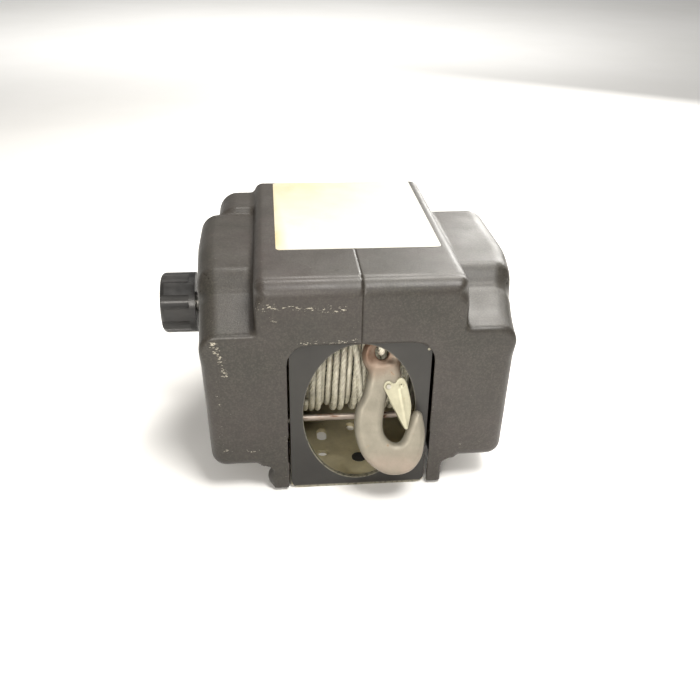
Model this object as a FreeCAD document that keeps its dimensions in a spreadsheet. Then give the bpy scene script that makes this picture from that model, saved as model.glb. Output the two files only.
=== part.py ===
"""Portable 12 V cable winch: steel frame, drum and wire rope, motor, spur gear train, clutch,
hook and the two-part moulded cover.  Millimetres, +X to the right seen from the rope side,
+Y to the back, +Z up.  The origin is the centre of the mounting slots on the underside."""
import FreeCAD, Part
import math
import os
import re
import Sketcher
from FreeCAD import Placement, Rotation, Vector

doc = FreeCAD.newDocument("cable_winch")

# ---------------------------------------------------------------- driving dimensions
SIZES = {
    # moulded cover
    "front_y": -130, "back_room": 14, "cover_top": 210, "block_left": 90, "block_right": 91,
    "cover_wall": 3, "arm_left": 145, "arm_right": 150, "arm_left_front": 136,
    "arm_right_front": 133, "arm_swell": 95, "arm_floor": 28, "arm_top": 198,
    "arm_depth": 225, "shelf_top": 164, "shelf_depth": 54, "shelf_rise": 16,
    "skirt_half": 78, "skirt_bottom": 2, "opening_half": 64, "opening_top": 152,
    "opening_corner_r": 18, "shoulder_front": 205, "shoulder_left": 128, "shoulder_top": 203,
    "cover_bolt_z": 13, "cover_bolt_run": 62, "back_bolt_inset": 12, "post_r": 6,
    "cover_bolt_r": 3, "dome_r": 8.5, "dome_t": 6, "dome_edge_r": 4.5,
    "label_left": 70, "label_right": 79, "label_front": -57, "label_back": 134,
    "label_t": 0.3, "label_corner_r": 4,
    # steel frame
    "plate_t": 4, "frame_half": 62, "frame_back": 128, "front_plate_top": 172, "side_top": 174,
    "front_gap": 0.3, "plate_corner_r": 8, "corner_drop": 45, "corner_run": 50,
    "drain_r": 7, "drain_x": 5, "drain_y": -90, "drain_rise": 0.8, "hole_half_width": 50.5,
    "hole_half_height": 71, "hole_z": 80,
    "bolt_spacing_x": 60, "bolt_spacing_y": 160, "bolt_hole_r": 5.2, "tie_rod_r": 3,
    "tie_front_y": -102, "tie_front_z": 61, "tie_top_y": 42, "tie_top_z": 158,
    "tie_low_y": 20, "tie_low_z": 14, "nut_flats": 8, "nut_t": 4, "thin_nut_t": 2.6,
    # drum and rope
    "drum_y": -28, "drum_z": 84, "drum_core_r": 24, "flange_r": 64, "flange_t": 4,
    "flange_gap": 1.5, "rope_r": 3, "winding_r": 54, "drum_shaft_r": 10, "running_fit": 0.05,
    "bush_wall": 3, "bush_flange_t": 1.2, "bush_rim": 3,
    # motor
    "motor_y": 78, "motor_z": 70, "motor_r": 38, "motor_wall": 3, "bell_t": 12,
    "motor_shaft_r": 4, "armature_r": 30, "bearing_wall": 5, "bearing_t": 7,
    "commutator_r": 14, "magnet_t": 4, "drive_hole_r": 15, "brush_hole_r": 8,
    "motor_screw_circle": 26, "motor_screw_r": 4, "motor_screw_t": 2.4,
    # gear train
    "module_one": 1.0, "module_two": 1.5, "module_three": 2.25, "pinion_teeth": 12,
    "first_teeth": 60, "second_teeth": 54, "drum_teeth": 42, "gear_gap": 2, "first_face": 6,
    "second_face": 9, "drum_face": 12, "backlash": 0.3, "first_shaft_r": 5,
    "second_shaft_r": 9, "first_angle": 135, "gear_plate_t": 3, "spacer_r": 5,
    "spacer_screw_r": 2.5, "spacer_head_r": 4.5, "spacer_head_t": 4,
    # clutch and crank
    "clutch_rod_r": 4, "sleeve_r": 10, "knob_r": 30, "knob_gap": 0.8, "knob_length": 34,
    "knob_edge_r": 5, "knob_lobes": 7, "scallop_r": 9, "scallop_offset": 5,
    "crank_hex": 8, "crank_hole_r": 13, "flap_t": 3, "flap_gap": 0.2, "flap_rim": 3,
    "flap_reach": 24.5, "flap_ear_r": 7, "flap_neck_half": 6, "flap_screw_r": 2.5,
    "flap_head_r": 5, "flap_head_t": 2.6, "flap_head_gap": 0.2,
    # hook
    "hook_x": 19.2, "hook_pivot_y": -107.5, "hook_pivot_z": 143.6, "hook_tilt": 24,
    "hook_lean": 4.6, "hook_thick": 13, "eye_r": 13.5, "eye_wire_r": 4.5, "latch_pin_r": 2,
    "latch_across": 2, "latch_down": 27, "latch_gap": 0.6, "latch_t": 1.3,
    "pin_overhang": 2.7, "thimble_r": 6.3, "thimble_wall": 1.2, "thimble_width": 6.4,
    "ferrule_length": 22, "ferrule_gap": 0.2,
    # sockets and switchgear on the right
    "socket_z": 70, "power_y": 0, "remote_y": 42, "remote_r": 13, "breaker_y": 30,
    "breaker_z": 135, "button_r": 6, "button_gap": 0.4, "inlet_half_y": 17,
    "inlet_half_z": 11, "inlet_wall": 3, "inlet_corner_r": 3, "pin_offset": 7,
    "remote_wall": 2.5, "relay_width": 34, "stud_r": 3, "stud_length": 10,
}


def worked_out(given):
    """Places that follow from the driving sizes: fits, stacks of parts and gear centres."""
    here = dict(given)
    here["cover_depth"] = (given["frame_back"] + given["back_room"] + given["cover_wall"]
                           - given["front_y"])
    here["plate_front"] = given["front_y"] + given["cover_wall"] + given["front_gap"]
    here["plate_back"] = here["plate_front"] + given["plate_t"]
    here["side_in"] = given["frame_half"] - given["plate_t"]
    here["flange_out"] = here["side_in"] - given["flange_gap"]
    here["flange_in"] = here["flange_out"] - given["flange_t"]
    place = given["frame_half"] + given["gear_gap"] + 1
    for stage, gap in (("drum", 0), ("second", given["gear_gap"]), ("first", given["gear_gap"])):
        here[stage + "_in"] = place + gap
        place = here[stage + "_in"] + given[stage + "_face"]
        here[stage + "_out"] = place
    here["gear_plate_in"] = place + given["gear_gap"] + 1
    here["gear_plate_out"] = here["gear_plate_in"] + given["gear_plate_t"]
    half_teeth = given["pinion_teeth"] / 2
    reach_one = given["module_one"] * (given["first_teeth"] / 2 + half_teeth)
    reach_two = given["module_two"] * (given["second_teeth"] / 2 + half_teeth)
    reach_three = given["module_three"] * (given["drum_teeth"] / 2 + half_teeth)
    angle = math.radians(given["first_angle"])
    here["first_y"] = given["motor_y"] + reach_one * math.cos(angle)
    here["first_z"] = given["motor_z"] + reach_one * math.sin(angle)
    over, up = here["first_y"] - given["drum_y"], here["first_z"] - given["drum_z"]
    apart = math.hypot(over, up)
    foot = (apart ** 2 + reach_three ** 2 - reach_two ** 2) / (2 * apart)
    rise = math.sqrt(reach_three ** 2 - foot ** 2)
    here["second_y"] = given["drum_y"] + (foot * over - rise * up) / apart
    here["second_z"] = given["drum_z"] + (foot * up + rise * over) / apart
    here["flap_in"] = given["arm_left"] + given["flap_gap"]
    here["flap_out"] = here["flap_in"] + given["flap_t"]
    here["knob_in"] = here["flap_out"] + given["knob_gap"]
    here["knob_out"] = here["knob_in"] + given["knob_length"]
    here["cover_bolt_y"] = here["plate_back"] + given["cover_bolt_run"]
    return here


SIZES = worked_out(SIZES)

sheet = doc.addObject("Spreadsheet::Sheet", "Size")
for row, (alias, number) in enumerate(SIZES.items(), start=1):
    sheet.set("A%d" % row, alias.replace("_", " "))
    sheet.set("B%d" % row, str(number))
    sheet.setAlias("B%d" % row, alias)
doc.recompute()


def size(alias):
    """The number that the sheet holds under this name."""
    return float(sheet.get(alias))


def linked(text):
    """An expression in plain size names, turned into references to the sheet."""
    return re.sub(r"[a-z]\w*", lambda word: "Size." + word.group(0), text)


pieces = []


def keep(thing, label):
    """Names a finished sub-part and lists it for export."""
    thing.Label = label
    pieces.append(thing)
    return thing


def bind(thing, **expressions):
    """Ties properties to the sheet; an underscore stands for the dot in Placement.Base.x."""
    for path, text in expressions.items():
        thing.setExpression(path.replace("Base_", "Placement.Base."), linked(text))


# ---------------------------------------------------------------- building blocks
TURN = {"X": Rotation(Vector(0, 1, 0), 90), "Y": Rotation(Vector(1, 0, 0), -90), "Z": Rotation()}


def block(x_low, x_high, y_low, y_high, z_low, z_high):
    box = doc.addObject("Part::Box", "Block")
    bind(box, Length="(%s)-(%s)" % (x_high, x_low), Width="(%s)-(%s)" % (y_high, y_low))
    bind(box, Height="(%s)-(%s)" % (z_high, z_low), Base_x=x_low, Base_y=y_low, Base_z=z_low)
    return box


def place_on(round_piece, axis, start, across):
    """Puts a round primitive's foot at start along its axis; across gives the other two places."""
    round_piece.Placement = Placement(Vector(), TURN[axis])
    names = {"X": ("x", "y", "z"), "Y": ("y", "x", "z"), "Z": ("z", "x", "y")}[axis]
    for name, text in zip(names, (start,) + across):
        round_piece.setExpression("Placement.Base." + name, linked(text))


def rod(axis, radius, start, end, *across):
    cylinder = doc.addObject("Part::Cylinder", "Rod")
    bind(cylinder, Radius=radius, Height="(%s)-(%s)" % (end, start))
    place_on(cylinder, axis, start, across)
    return cylinder


def hexagon(axis, across_flats, start, end, *across):
    prism = doc.addObject("Part::Prism", "Hexagon")
    prism.Polygon = 6
    bind(prism, Circumradius="(%s)*0.57735" % across_flats, Height="(%s)-(%s)" % (end, start))
    place_on(prism, axis, start, across)
    return prism


def join(*shapes):
    if len(shapes) == 1:
        return shapes[0]
    union = doc.addObject("Part::MultiFuse", "Union")
    union.Shapes = list(shapes)
    return union


def cut(base, *tools):
    difference = doc.addObject("Part::Cut", "Difference")
    difference.Base = base
    difference.Tool = join(*tools)
    return difference


def group(*shapes):
    """Like pieces that stay separate solids in one node."""
    together = doc.addObject("Part::Compound", "Group")
    together.Links = list(shapes)
    return together


def ring(axis, outer, inner, start, end, *across):
    bore = rod(axis, inner, "(%s)-1" % start, "(%s)+1" % end, *across)
    return cut(rod(axis, outer, start, end, *across), bore)


def shaped(label, shape, placement=None):
    """A sub-part whose form is worked out below instead of by a primitive."""
    feature = doc.addObject("Part::Feature", label)
    feature.Shape = shape
    if placement:
        feature.Placement = placement
    return feature


def origin_plane(body, role):
    return [plane for plane in body.Origin.OriginFeatures if plane.Role == role][0]


def sketch_on(body, role):
    sketch = body.newObject("Sketcher::SketchObject", "Outline")
    sketch.AttachmentSupport = [(origin_plane(body, role), "")]
    sketch.MapMode = "FlatFace"
    return sketch


def fix_point(sketch, line, end, across, up):
    """Holds one end of a line, or a circle's centre, at places given by the sheet."""
    for kind, text in (("DistanceX", across), ("DistanceY", up)):
        number = sketch.addConstraint(Sketcher.Constraint(kind, -1, 1, line, end, 1.0))
        sketch.setExpression("Constraints[%d]" % number, linked(text))


def polygon(sketch, points):
    first = sketch.GeometryCount
    last = first + len(points) - 1
    turn = 2 * math.pi / len(points)
    corners = [Vector(math.cos(i * turn), math.sin(i * turn), 0) for i in range(len(points))]
    for here, there in zip(corners, corners[1:] + corners[:1]):
        sketch.addGeometry(Part.LineSegment(here, there), False)
    for line in range(first, last + 1):
        following = first if line == last else line + 1
        sketch.addConstraint(Sketcher.Constraint("Coincident", line, 2, following, 1))
    for line, (across, up) in enumerate(points, start=first):
        fix_point(sketch, line, 1, across, up)


def circle(sketch, radius, across, up):
    number = sketch.addGeometry(Part.Circle(Vector(1, 1, 0), Vector(0, 0, 1), 1), False)
    held = sketch.addConstraint(Sketcher.Constraint("Radius", number, 1.0))
    sketch.setExpression("Constraints[%d]" % held, linked(radius))
    fix_point(sketch, number, 3, across, up)


def plate(name, role, points, thickness, holes=()):
    """A flat plate padded from an origin plane, with round holes through it."""
    body = doc.addObject("PartDesign::Body", name)
    outline = sketch_on(body, role)
    polygon(outline, points)
    pad = body.newObject("PartDesign::Pad", "Plate")
    pad.Profile = outline
    pad.setExpression("Length", linked(thickness))
    if holes:
        drilled = sketch_on(body, role)
        for hole in holes:
            circle(drilled, *hole)
        pocket = body.newObject("PartDesign::Pocket", "Holes")
        pocket.Profile = drilled
        pocket.Type = 1
        pocket.Midplane = True
    body.Tip = body.Group[-1]
    return body


def turned(name, points, y_place, z_place):
    """A lathe-turned piece about an X axis; points are (place along X, radius)."""
    body = doc.addObject("PartDesign::Body", name)
    outline = sketch_on(body, "XZ_Plane")
    polygon(outline, points)
    turn = body.newObject("PartDesign::Revolution", "Turned")
    turn.Profile = outline
    turn.ReferenceAxis = (outline, ["H_Axis"])
    turn.Angle = 360
    body.Tip = turn
    bind(body, Base_y=y_place, Base_z=z_place)
    return body


def soften(thing, radius, picks):
    """Rounds the edges of a finished shape that the test picks out."""
    doc.recompute()
    edges = [n for n, edge in enumerate(thing.Shape.Edges, start=1) if picks(edge)]
    rounded = doc.addObject("Part::Fillet", "Rounded")
    rounded.Base = thing
    rounded.Edges = [(n, radius, radius) for n in edges]
    return rounded


def along(edge, axis):
    """True for a straight edge that runs along one axis."""
    direction = edge.Vertexes[-1].Point - edge.Vertexes[0].Point
    wanted = {"X": Vector(1, 0, 0), "Y": Vector(0, 1, 0), "Z": Vector(0, 0, 1)}[axis]
    return direction.Length > 0.1 and direction.getAngle(wanted) % math.pi < 0.01


def rounded_wire(corners, place):
    """A closed outline; each corner is (u, v, radius), and place turns u, v into a point."""
    ring_of_points = [Vector(u, v, 0) for u, v, _ in corners]
    edges = []
    starts, ends, middles = [], [], []
    for i, (u, v, radius) in enumerate(corners):
        corner = ring_of_points[i]
        back = (ring_of_points[i - 1] - corner).normalize()
        ahead = (ring_of_points[(i + 1) % len(corners)] - corner).normalize()
        half = back.getAngle(ahead) / 2
        reach = radius / math.tan(half)
        centre = corner + (back + ahead).normalize() * (radius / math.sin(half))
        starts.append(corner + back * reach)
        ends.append(corner + ahead * reach)
        middles.append(centre - (back + ahead).normalize() * radius)
    for i in range(len(corners)):
        if corners[i][2] > 0:
            edges.append(Part.Arc(place(starts[i]), place(middles[i]), place(ends[i])).toShape())
        following = starts[(i + 1) % len(corners)]
        if (following - ends[i]).Length > 1e-6:
            edges.append(Part.makeLine(place(ends[i]), place(following)))
    return Part.Wire(Part.__sortEdges__(edges))


def in_yz(point):
    return Vector(0, point.x, point.y)


def in_xz(point):
    return Vector(point.x, 0, point.y)


def in_xy(point):
    return Vector(point.x, point.y, 0)


def prism(corners, place, inset, low, high):
    """An outline, drawn in by inset, as a solid from low to high across its plane."""
    wire = rounded_wire(corners, place)
    if inset:
        wire = wire.makeOffset2D(-inset)
    normal = {in_yz: Vector(1, 0, 0), in_xz: Vector(0, 1, 0), in_xy: Vector(0, 0, 1)}[place]
    wire.translate(normal * low)
    return Part.Face(wire).extrude(normal * (high - low))


# ---------------------------------------------------------------- steel frame
# lightening slots of the floor, as (x, y, half length, radius)
FLOOR_SLOTS = ((-29, -49, 5, 5), (1.5, -37, 3, 4))


def base_plate():
    """Zinc-plated floor: four bolt holes, two lightening slots and a plugged drain hole."""
    floor = block("-frame_half", "frame_half", "plate_back", "frame_back", "0", "plate_t")
    holes = []
    for x_side in ("-", ""):
        for y_side in ("-", ""):
            across = (x_side + "bolt_spacing_x/2", y_side + "bolt_spacing_y/2")
            holes.append(rod("Z", "bolt_hole_r", "-1", "plate_t+1", *across))
    for x, y, half_length, radius in FLOOR_SLOTS:
        ends = (y - half_length, y + half_length)
        holes += [rod("Z", str(radius), "-1", "plate_t+1", str(x), str(end)) for end in ends]
        sides = (str(x - radius), str(x + radius), str(ends[0]), str(ends[1]))
        holes.append(block(*sides, "-1", "plate_t+1"))
    holes.append(rod("Z", "drain_r", "-1", "plate_t+1", "drain_x", "drain_y"))
    keep(cut(floor, *holes), "base_plate")
    keep(rod("Z", "drain_r", "0", "plate_t+drain_rise", "drain_x", "drain_y"), "drain_plug")


def front_plate():
    """Black steel fairlead plate with the oval rope opening and rounded lower corners."""
    sheet_metal = block("-frame_half", "frame_half", "plate_front", "plate_back", "0",
                        "front_plate_top")
    rounded = soften(sheet_metal, size("plate_corner_r"),
                     lambda edge: along(edge, "Y") and edge.BoundBox.ZMax < 1)
    oval = doc.addObject("Part::Ellipse", "Oval")
    bind(oval, MajorRadius="hole_half_height", MinorRadius="hole_half_width")
    oval.Placement.Rotation = Rotation(Vector(0, 0, 1), Vector(1, 0, 0), Vector(0, 1, 0), "XYZ")
    bind(oval, Base_y="plate_front-1", Base_z="hole_z")
    opening = doc.addObject("Part::Extrusion", "Opening")
    opening.Base = oval
    opening.DirMode = "Custom"
    opening.Dir = Vector(0, 1, 0)
    opening.Solid = True
    bind(opening, LengthFwd="plate_t+2")
    keep(cut(rounded, opening), "front_plate")


# holes of the gear plate's four spacers, as (y, z)
SPACERS = (("-16", "165"), ("30", "62"), ("78", "140"), ("82", "48"))
TIES = (("tie_front_y", "tie_front_z"), ("tie_top_y", "tie_top_z"), ("tie_low_y", "tie_low_z"))


def side_outline():
    """Outline of a side plate: square at the front, its top corner cut back behind."""
    back_corner = ("frame_back", "side_top-corner_drop")
    return (("plate_back", "plate_t"), ("frame_back", "plate_t"), back_corner,
            ("frame_back-corner_run", "side_top"), ("plate_back", "side_top"))


def side_plates():
    """The two cheeks that carry the drum, the motor and, on the left, the gears."""
    bush = "drum_shaft_r+bush_wall"
    shared = [(bush, "drum_y", "drum_z")] + [("tie_rod_r", y, z) for y, z in TIES]
    left = [("second_shaft_r+bush_wall", "second_y", "second_z"),
            ("first_shaft_r+bush_wall", "first_y", "first_z"),
            ("drive_hole_r", "motor_y", "motor_z")]
    left += [("spacer_screw_r", y, z) for y, z in SPACERS]
    right = [("brush_hole_r", "motor_y", "motor_z")]
    plate_left = plate("SideLeft", "YZ_Plane", side_outline(), "plate_t", shared + left)
    bind(plate_left, Base_x="-frame_half")
    plate_right = plate("SideRight", "YZ_Plane", side_outline(), "plate_t", shared + right)
    bind(plate_right, Base_x="side_in")
    keep(plate_left, "side_plate_left")
    keep(plate_right, "side_plate_right")


def tie_rods():
    """Three threaded rods that hold the cheeks apart, with a nut at each end."""
    keep(group(*[rod("X", "tie_rod_r", "-frame_half", "frame_half", y, z) for y, z in TIES]),
         "tie_rods")
    nuts = []
    for y, z in TIES:
        nuts.append(hexagon("X", "nut_flats", "frame_half", "frame_half+nut_t", y, z))
        if (y, z) != TIES[1]:
            nuts.append(hexagon("X", "nut_flats", "-frame_half-thin_nut_t", "-frame_half", y, z))
    keep(group(*nuts), "tie_rod_nuts")


def gear_plate():
    """Outer plate of the gear train on its four spacers."""
    corners = (("-28", "42"), ("87", "42"), ("87", "150"), ("66", "173"), ("-28", "173"))
    holes = [("second_shaft_r+bush_wall", "second_y", "second_z"),
             ("first_shaft_r+bush_wall", "first_y", "first_z")]
    holes += [("spacer_screw_r", y, z) for y, z in SPACERS]
    outer = plate("GearPlate", "YZ_Plane", corners, "gear_plate_t", holes)
    bind(outer, Base_x="-gear_plate_out")
    keep(outer, "gear_plate")
    tubes = [ring("X", "spacer_r", "spacer_screw_r", "-gear_plate_in", "-frame_half", y, z)
             for y, z in SPACERS]
    keep(group(*tubes), "gear_plate_spacers")
    screws = []
    for y, z in SPACERS:
        shank = rod("X", "spacer_screw_r", "-gear_plate_out", "-side_in", y, z)
        head = rod("X", "spacer_head_r", "-gear_plate_out-spacer_head_t", "-gear_plate_out", y, z)
        screws.append(join(shank, head))
    keep(group(*screws), "gear_plate_screws")


# ---------------------------------------------------------------- drum
def drum_bushes():
    """Flanged bronze bushes in the two cheeks, a running fit on the drum shaft."""
    bushes = []
    for side in ("-", ""):
        inner_end = side + "(side_in-bush_flange_t)"
        inner_face, outer_face = side + "side_in", side + "frame_half"
        low, high = (outer_face, inner_end) if side else (inner_end, outer_face)
        flange = (inner_face, inner_end) if side else (inner_end, inner_face)
        outside = join(rod("X", "drum_shaft_r+bush_wall", low, high, "drum_y", "drum_z"),
                       rod("X", "drum_shaft_r+bush_wall+bush_rim", *flange, "drum_y", "drum_z"))
        bore = rod("X", "drum_shaft_r+running_fit", low + "-1", high + "+1", "drum_y", "drum_z")
        bushes.append(cut(outside, bore))
    keep(group(*bushes), "drum_bushes")


def drum():
    """Core tube, two flanges and the shaft that carries them."""
    core = (("-flange_in", "drum_shaft_r"), ("flange_in", "drum_shaft_r"),
            ("flange_in", "drum_core_r"), ("-flange_in", "drum_core_r"))
    keep(turned("Core", core, "drum_y", "drum_z"), "drum_core")
    flanges = []
    for side in ("-", ""):
        inner, outer = side + "flange_in", side + "flange_out"
        disc = ((inner, "drum_shaft_r"), (outer, "drum_shaft_r"), (outer, "flange_r"),
                (inner, "flange_r"))
        flanges.append(turned("Flange", disc, "drum_y", "drum_z"))
    keep(group(*flanges), "drum_flanges")
    shaft = rod("X", "drum_shaft_r", "-drum_out-2", "frame_half+3", "drum_y", "drum_z")
    keep(shaft, "drum_shaft")


def rope_winding():
    """The wound rope as one solid of revolution, with a scallop for each turn."""
    rope, outer, half = size("rope_r"), size("winding_r"), size("flange_in")
    turns = int(2 * half / (2 * rope))
    pitch = 2 * half / turns
    low = size("drum_core_r")
    edges = [Part.makeLine(Vector(half, 0, low), Vector(-half, 0, low)),
             Part.makeLine(Vector(-half, 0, low), Vector(-half, 0, outer - rope))]
    for turn in range(turns):
        left = -half + turn * pitch
        crown = Vector(left + pitch / 2, 0, outer)
        ends = Vector(left, 0, outer - rope), Vector(left + pitch, 0, outer - rope)
        edges.append(Part.Arc(ends[0], crown, ends[1]).toShape())
    edges.append(Part.makeLine(Vector(half, 0, outer - rope), Vector(half, 0, low)))
    section = Part.Face(Part.Wire(Part.__sortEdges__(edges)))
    solid = section.revolve(Vector(), Vector(1, 0, 0), 360)
    place = Placement(Vector(0, size("drum_y"), size("drum_z")), Rotation())
    keep(shaped("Winding", solid, place), "rope_winding")


# ---------------------------------------------------------------- gear train
PRESSURE = math.radians(25)


def involute(radius, base):
    roll = math.acos(min(1.0, base / radius))
    return math.tan(roll) - roll


def spur(module, teeth, face, bore, phase):
    """A spur gear about X from x = 0, with stub teeth; phase is where a tooth's middle stands."""
    pitch = module * teeth / 2
    base, root, tip = pitch * math.cos(PRESSURE), pitch - 1.05 * module, pitch + 0.8 * module
    half_tooth = math.pi / (2 * teeth) - size("backlash") / (4 * pitch)
    flank = [max(base, root), (max(base, root) + pitch) / 2, pitch, tip]
    widths = [half_tooth + involute(pitch, base) - involute(radius, base) for radius in flank]
    if base > root:
        flank, widths = [root] + flank, widths[:1] + widths
    points = []
    for tooth in range(int(teeth)):
        middle = phase + tooth * 2 * math.pi / teeth
        side = [(radius, middle - wide) for radius, wide in zip(flank, widths)]
        side += [(radius, middle + wide) for radius, wide in zip(flank[::-1], widths[::-1])]
        points += [Vector(0, r * math.cos(turn), r * math.sin(turn)) for r, turn in side]
    blank = Part.Face(Part.makePolygon(points + points[:1])).extrude(Vector(face, 0, 0))
    return blank.cut(Part.makeCylinder(bore, face + 2, Vector(-1, 0, 0), Vector(1, 0, 0)))


def meshed(phase, teeth, other_teeth, y_from, z_from, y_to, z_to):
    """Where the other gear's tooth stands so that it meshes with the first one."""
    line = math.atan2(z_to - z_from, y_to - y_from)
    behind = (line - phase) * teeth / (2 * math.pi) % 1
    return line + math.pi + (behind + 0.5) * 2 * math.pi / other_teeth


def gears():
    """Three spur stages on the left cheek, from the motor's pinion to the drum's gear."""
    small = size("pinion_teeth")
    at = {name: (size(name + "_y"), size(name + "_z")) for name in ("motor", "first", "second",
                                                                   "drum")}
    third = meshed(0, size("drum_teeth"), small, *at["drum"], *at["second"])
    second = 0.0
    second_pinion = meshed(second, size("second_teeth"), small, *at["second"], *at["first"])
    first = 0.0
    motor_pinion = meshed(first, size("first_teeth"), small, *at["first"], *at["motor"])
    rows = (
        ("drum_gear", "module_three", "drum_teeth", "drum", "drum_shaft_r", "drum", 0.0),
        ("second_pinion", "module_three", "pinion_teeth", "drum", "second_shaft_r", "second",
         third),
        ("second_gear", "module_two", "second_teeth", "second", "second_shaft_r", "second",
         second),
        ("first_pinion", "module_two", "pinion_teeth", "second", "first_shaft_r", "first",
         second_pinion),
        ("first_gear", "module_one", "first_teeth", "first", "first_shaft_r", "first", first),
        ("motor_pinion", "module_one", "pinion_teeth", "first", "motor_shaft_r", "motor",
         motor_pinion),
    )
    for label, module, teeth, layer, bore, axis, phase in rows:
        solid = spur(size(module), size(teeth), size(layer + "_face"), size(bore), phase)
        place = Vector(-size(layer + "_out"), *at[axis])
        keep(shaped(label, solid, Placement(place, Rotation())), label)


def gear_shafts():
    """The hollow second shaft, the first shaft with the crank's hexagon, and their bushes."""
    bore = "clutch_rod_r+running_fit"
    hollow = ring("X", "second_shaft_r", bore, "-gear_plate_out+0.4", "-side_in+0.7", "second_y",
                  "second_z")
    keep(hollow, "second_shaft")
    first = ("first_y", "first_z")
    plain = rod("X", "first_shaft_r", "-gear_plate_out-2", "-side_in-0.3", *first)
    crank_end = hexagon("X", "crank_hex", "-arm_left+cover_wall+4", "-gear_plate_out-2", *first)
    keep(join(plain, crank_end), "first_shaft")
    bushes = []
    for stage in ("first", "second"):
        for low, high in (("-gear_plate_out", "-gear_plate_in"), ("-frame_half", "-side_in")):
            bushes.append(ring("X", stage + "_shaft_r+bush_wall",
                               stage + "_shaft_r+running_fit", low, high, stage + "_y",
                               stage + "_z"))
    keep(group(*bushes), "gear_bushes")


# ---------------------------------------------------------------- motor
def motor():
    """Two-pole permanent-magnet motor between the cheeks."""
    centre = ("motor_y", "motor_z")
    low, high = "-side_in+bell_t", "side_in-bell_t"
    keep(ring("X", "motor_r", "motor_r-motor_wall", low, high, *centre), "motor_can")
    bearing = "motor_shaft_r+bearing_wall"
    for name, wall, rim in (("drive", "-side_in", "-side_in+bell_t"),
                            ("brush", "side_in", "side_in-bell_t")):
        sign = "+" if name == "drive" else "-"
        bell = ((wall, bearing), (wall, "motor_r-4"), (wall + sign + "4", "motor_r"),
                (rim, "motor_r"), (rim, "motor_r-6"), (wall + sign + "bearing_t", "motor_r-10"),
                (wall + sign + "bearing_t", bearing))
        keep(turned("Bell", bell, *centre), "motor_bell_" + name)
    bearings = []
    for low_face, high_face in (("-side_in", "-side_in+bearing_t"),
                                ("side_in-bearing_t", "side_in")):
        bearings.append(ring("X", bearing, "motor_shaft_r+running_fit", low_face, high_face,
                             *centre))
    keep(group(*bearings), "motor_bearings")
    keep(rod("X", "motor_shaft_r", "-first_out-1", "side_in+1", *centre), "motor_shaft")
    keep(ring("X", "armature_r", "motor_shaft_r", "-side_in+20", "side_in-26", *centre),
         "motor_armature")
    keep(ring("X", "commutator_r", "motor_shaft_r", "side_in-25", "side_in-13", *centre),
         "motor_commutator")
    magnets = []
    for start in (10, 190):
        bore = rod("X", "motor_r-motor_wall-magnet_t", low + "-1", high + "+1", *centre)
        sector = rod("X", "motor_r-motor_wall", low + "+3", high + "-6", *centre)
        sector.Angle = 150
        sector.Placement.Rotation = Rotation(Vector(1, 0, 0), start).multiply(TURN["X"])
        magnets.append(cut(sector, bore))
    keep(group(*magnets), "motor_magnets")
    brushes = []
    for side in ("-", "+"):
        near, far = "motor_y" + side + "14.3", "motor_y" + side + "28"
        ends = (far, near) if side == "-" else (near, far)
        brushes.append(block("side_in-23", "side_in-15", *ends, "motor_z-4", "motor_z+4"))
    keep(group(*brushes), "motor_brushes")
    screws = []
    for turn in (90, 210, 330):
        y = "motor_y+motor_screw_circle*%.6f" % math.cos(math.radians(turn))
        z = "motor_z+motor_screw_circle*%.6f" % math.sin(math.radians(turn))
        screws.append(rod("X", "motor_screw_r", "-frame_half-motor_screw_t", "-frame_half", y, z))
    keep(group(*screws), "motor_screws")


# ---------------------------------------------------------------- clutch and crank
def clutch():
    """Lobed knob on a fixed sleeve; its cam pushes the rod inside the second shaft."""
    axis = ("second_y", "second_z")
    tube = ring("X", "sleeve_r", "clutch_rod_r+running_fit", "-knob_in-14", "-gear_plate_out",
                *axis)
    keep(tube, "clutch_sleeve")
    keep(rod("X", "clutch_rod_r", "-knob_in-18", "-frame_half-2", *axis), "clutch_rod")
    outside = rod("X", "knob_r", "-knob_out", "-knob_in", *axis)
    rounded = soften(outside, size("knob_edge_r"),
                     lambda edge: edge.BoundBox.XMax < -size("knob_out") + 1)
    bore = rod("X", "sleeve_r+running_fit", "-knob_in-16", "-knob_in+1", *axis)
    well = rod("X", "clutch_rod_r+0.5", "-knob_in-20", "-knob_in", *axis)
    scallops = []
    lobes = int(size("knob_lobes"))
    for turn in range(lobes):
        angle = math.radians(turn * 360 / lobes)
        y = "second_y+(knob_r+scallop_offset)*%.6f" % math.cos(angle)
        z = "second_z+(knob_r+scallop_offset)*%.6f" % math.sin(angle)
        scallops.append(rod("X", "scallop_r", "-knob_out-1", "-knob_in-6", y, z))
    keep(cut(rounded, bore, well, *scallops), "clutch_knob")


def crank_cover():
    """Flap over the hole for the emergency crank, swinging on one screw."""
    low, high = "-flap_out", "-flap_in"
    pivot = ("first_y", "first_z-flap_reach")
    disc = rod("X", "crank_hole_r+flap_rim", low, high, "first_y", "first_z")
    ear = rod("X", "flap_ear_r", low, high, *pivot)
    neck = block(low, high, "first_y-flap_neck_half", "first_y+flap_neck_half", pivot[1],
                 "first_z")
    hole = rod("X", "flap_screw_r+running_fit", low + "-1", high + "+1", *pivot)
    keep(cut(join(disc, ear, neck), hole), "crank_cover")
    under_head = "-flap_out-flap_head_gap"
    shank = rod("X", "flap_screw_r", under_head, "-arm_left+cover_wall+3", *pivot)
    head = rod("X", "flap_head_r", under_head + "-flap_head_t", under_head, *pivot)
    keep(join(shank, head), "crank_cover_screw")


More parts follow.
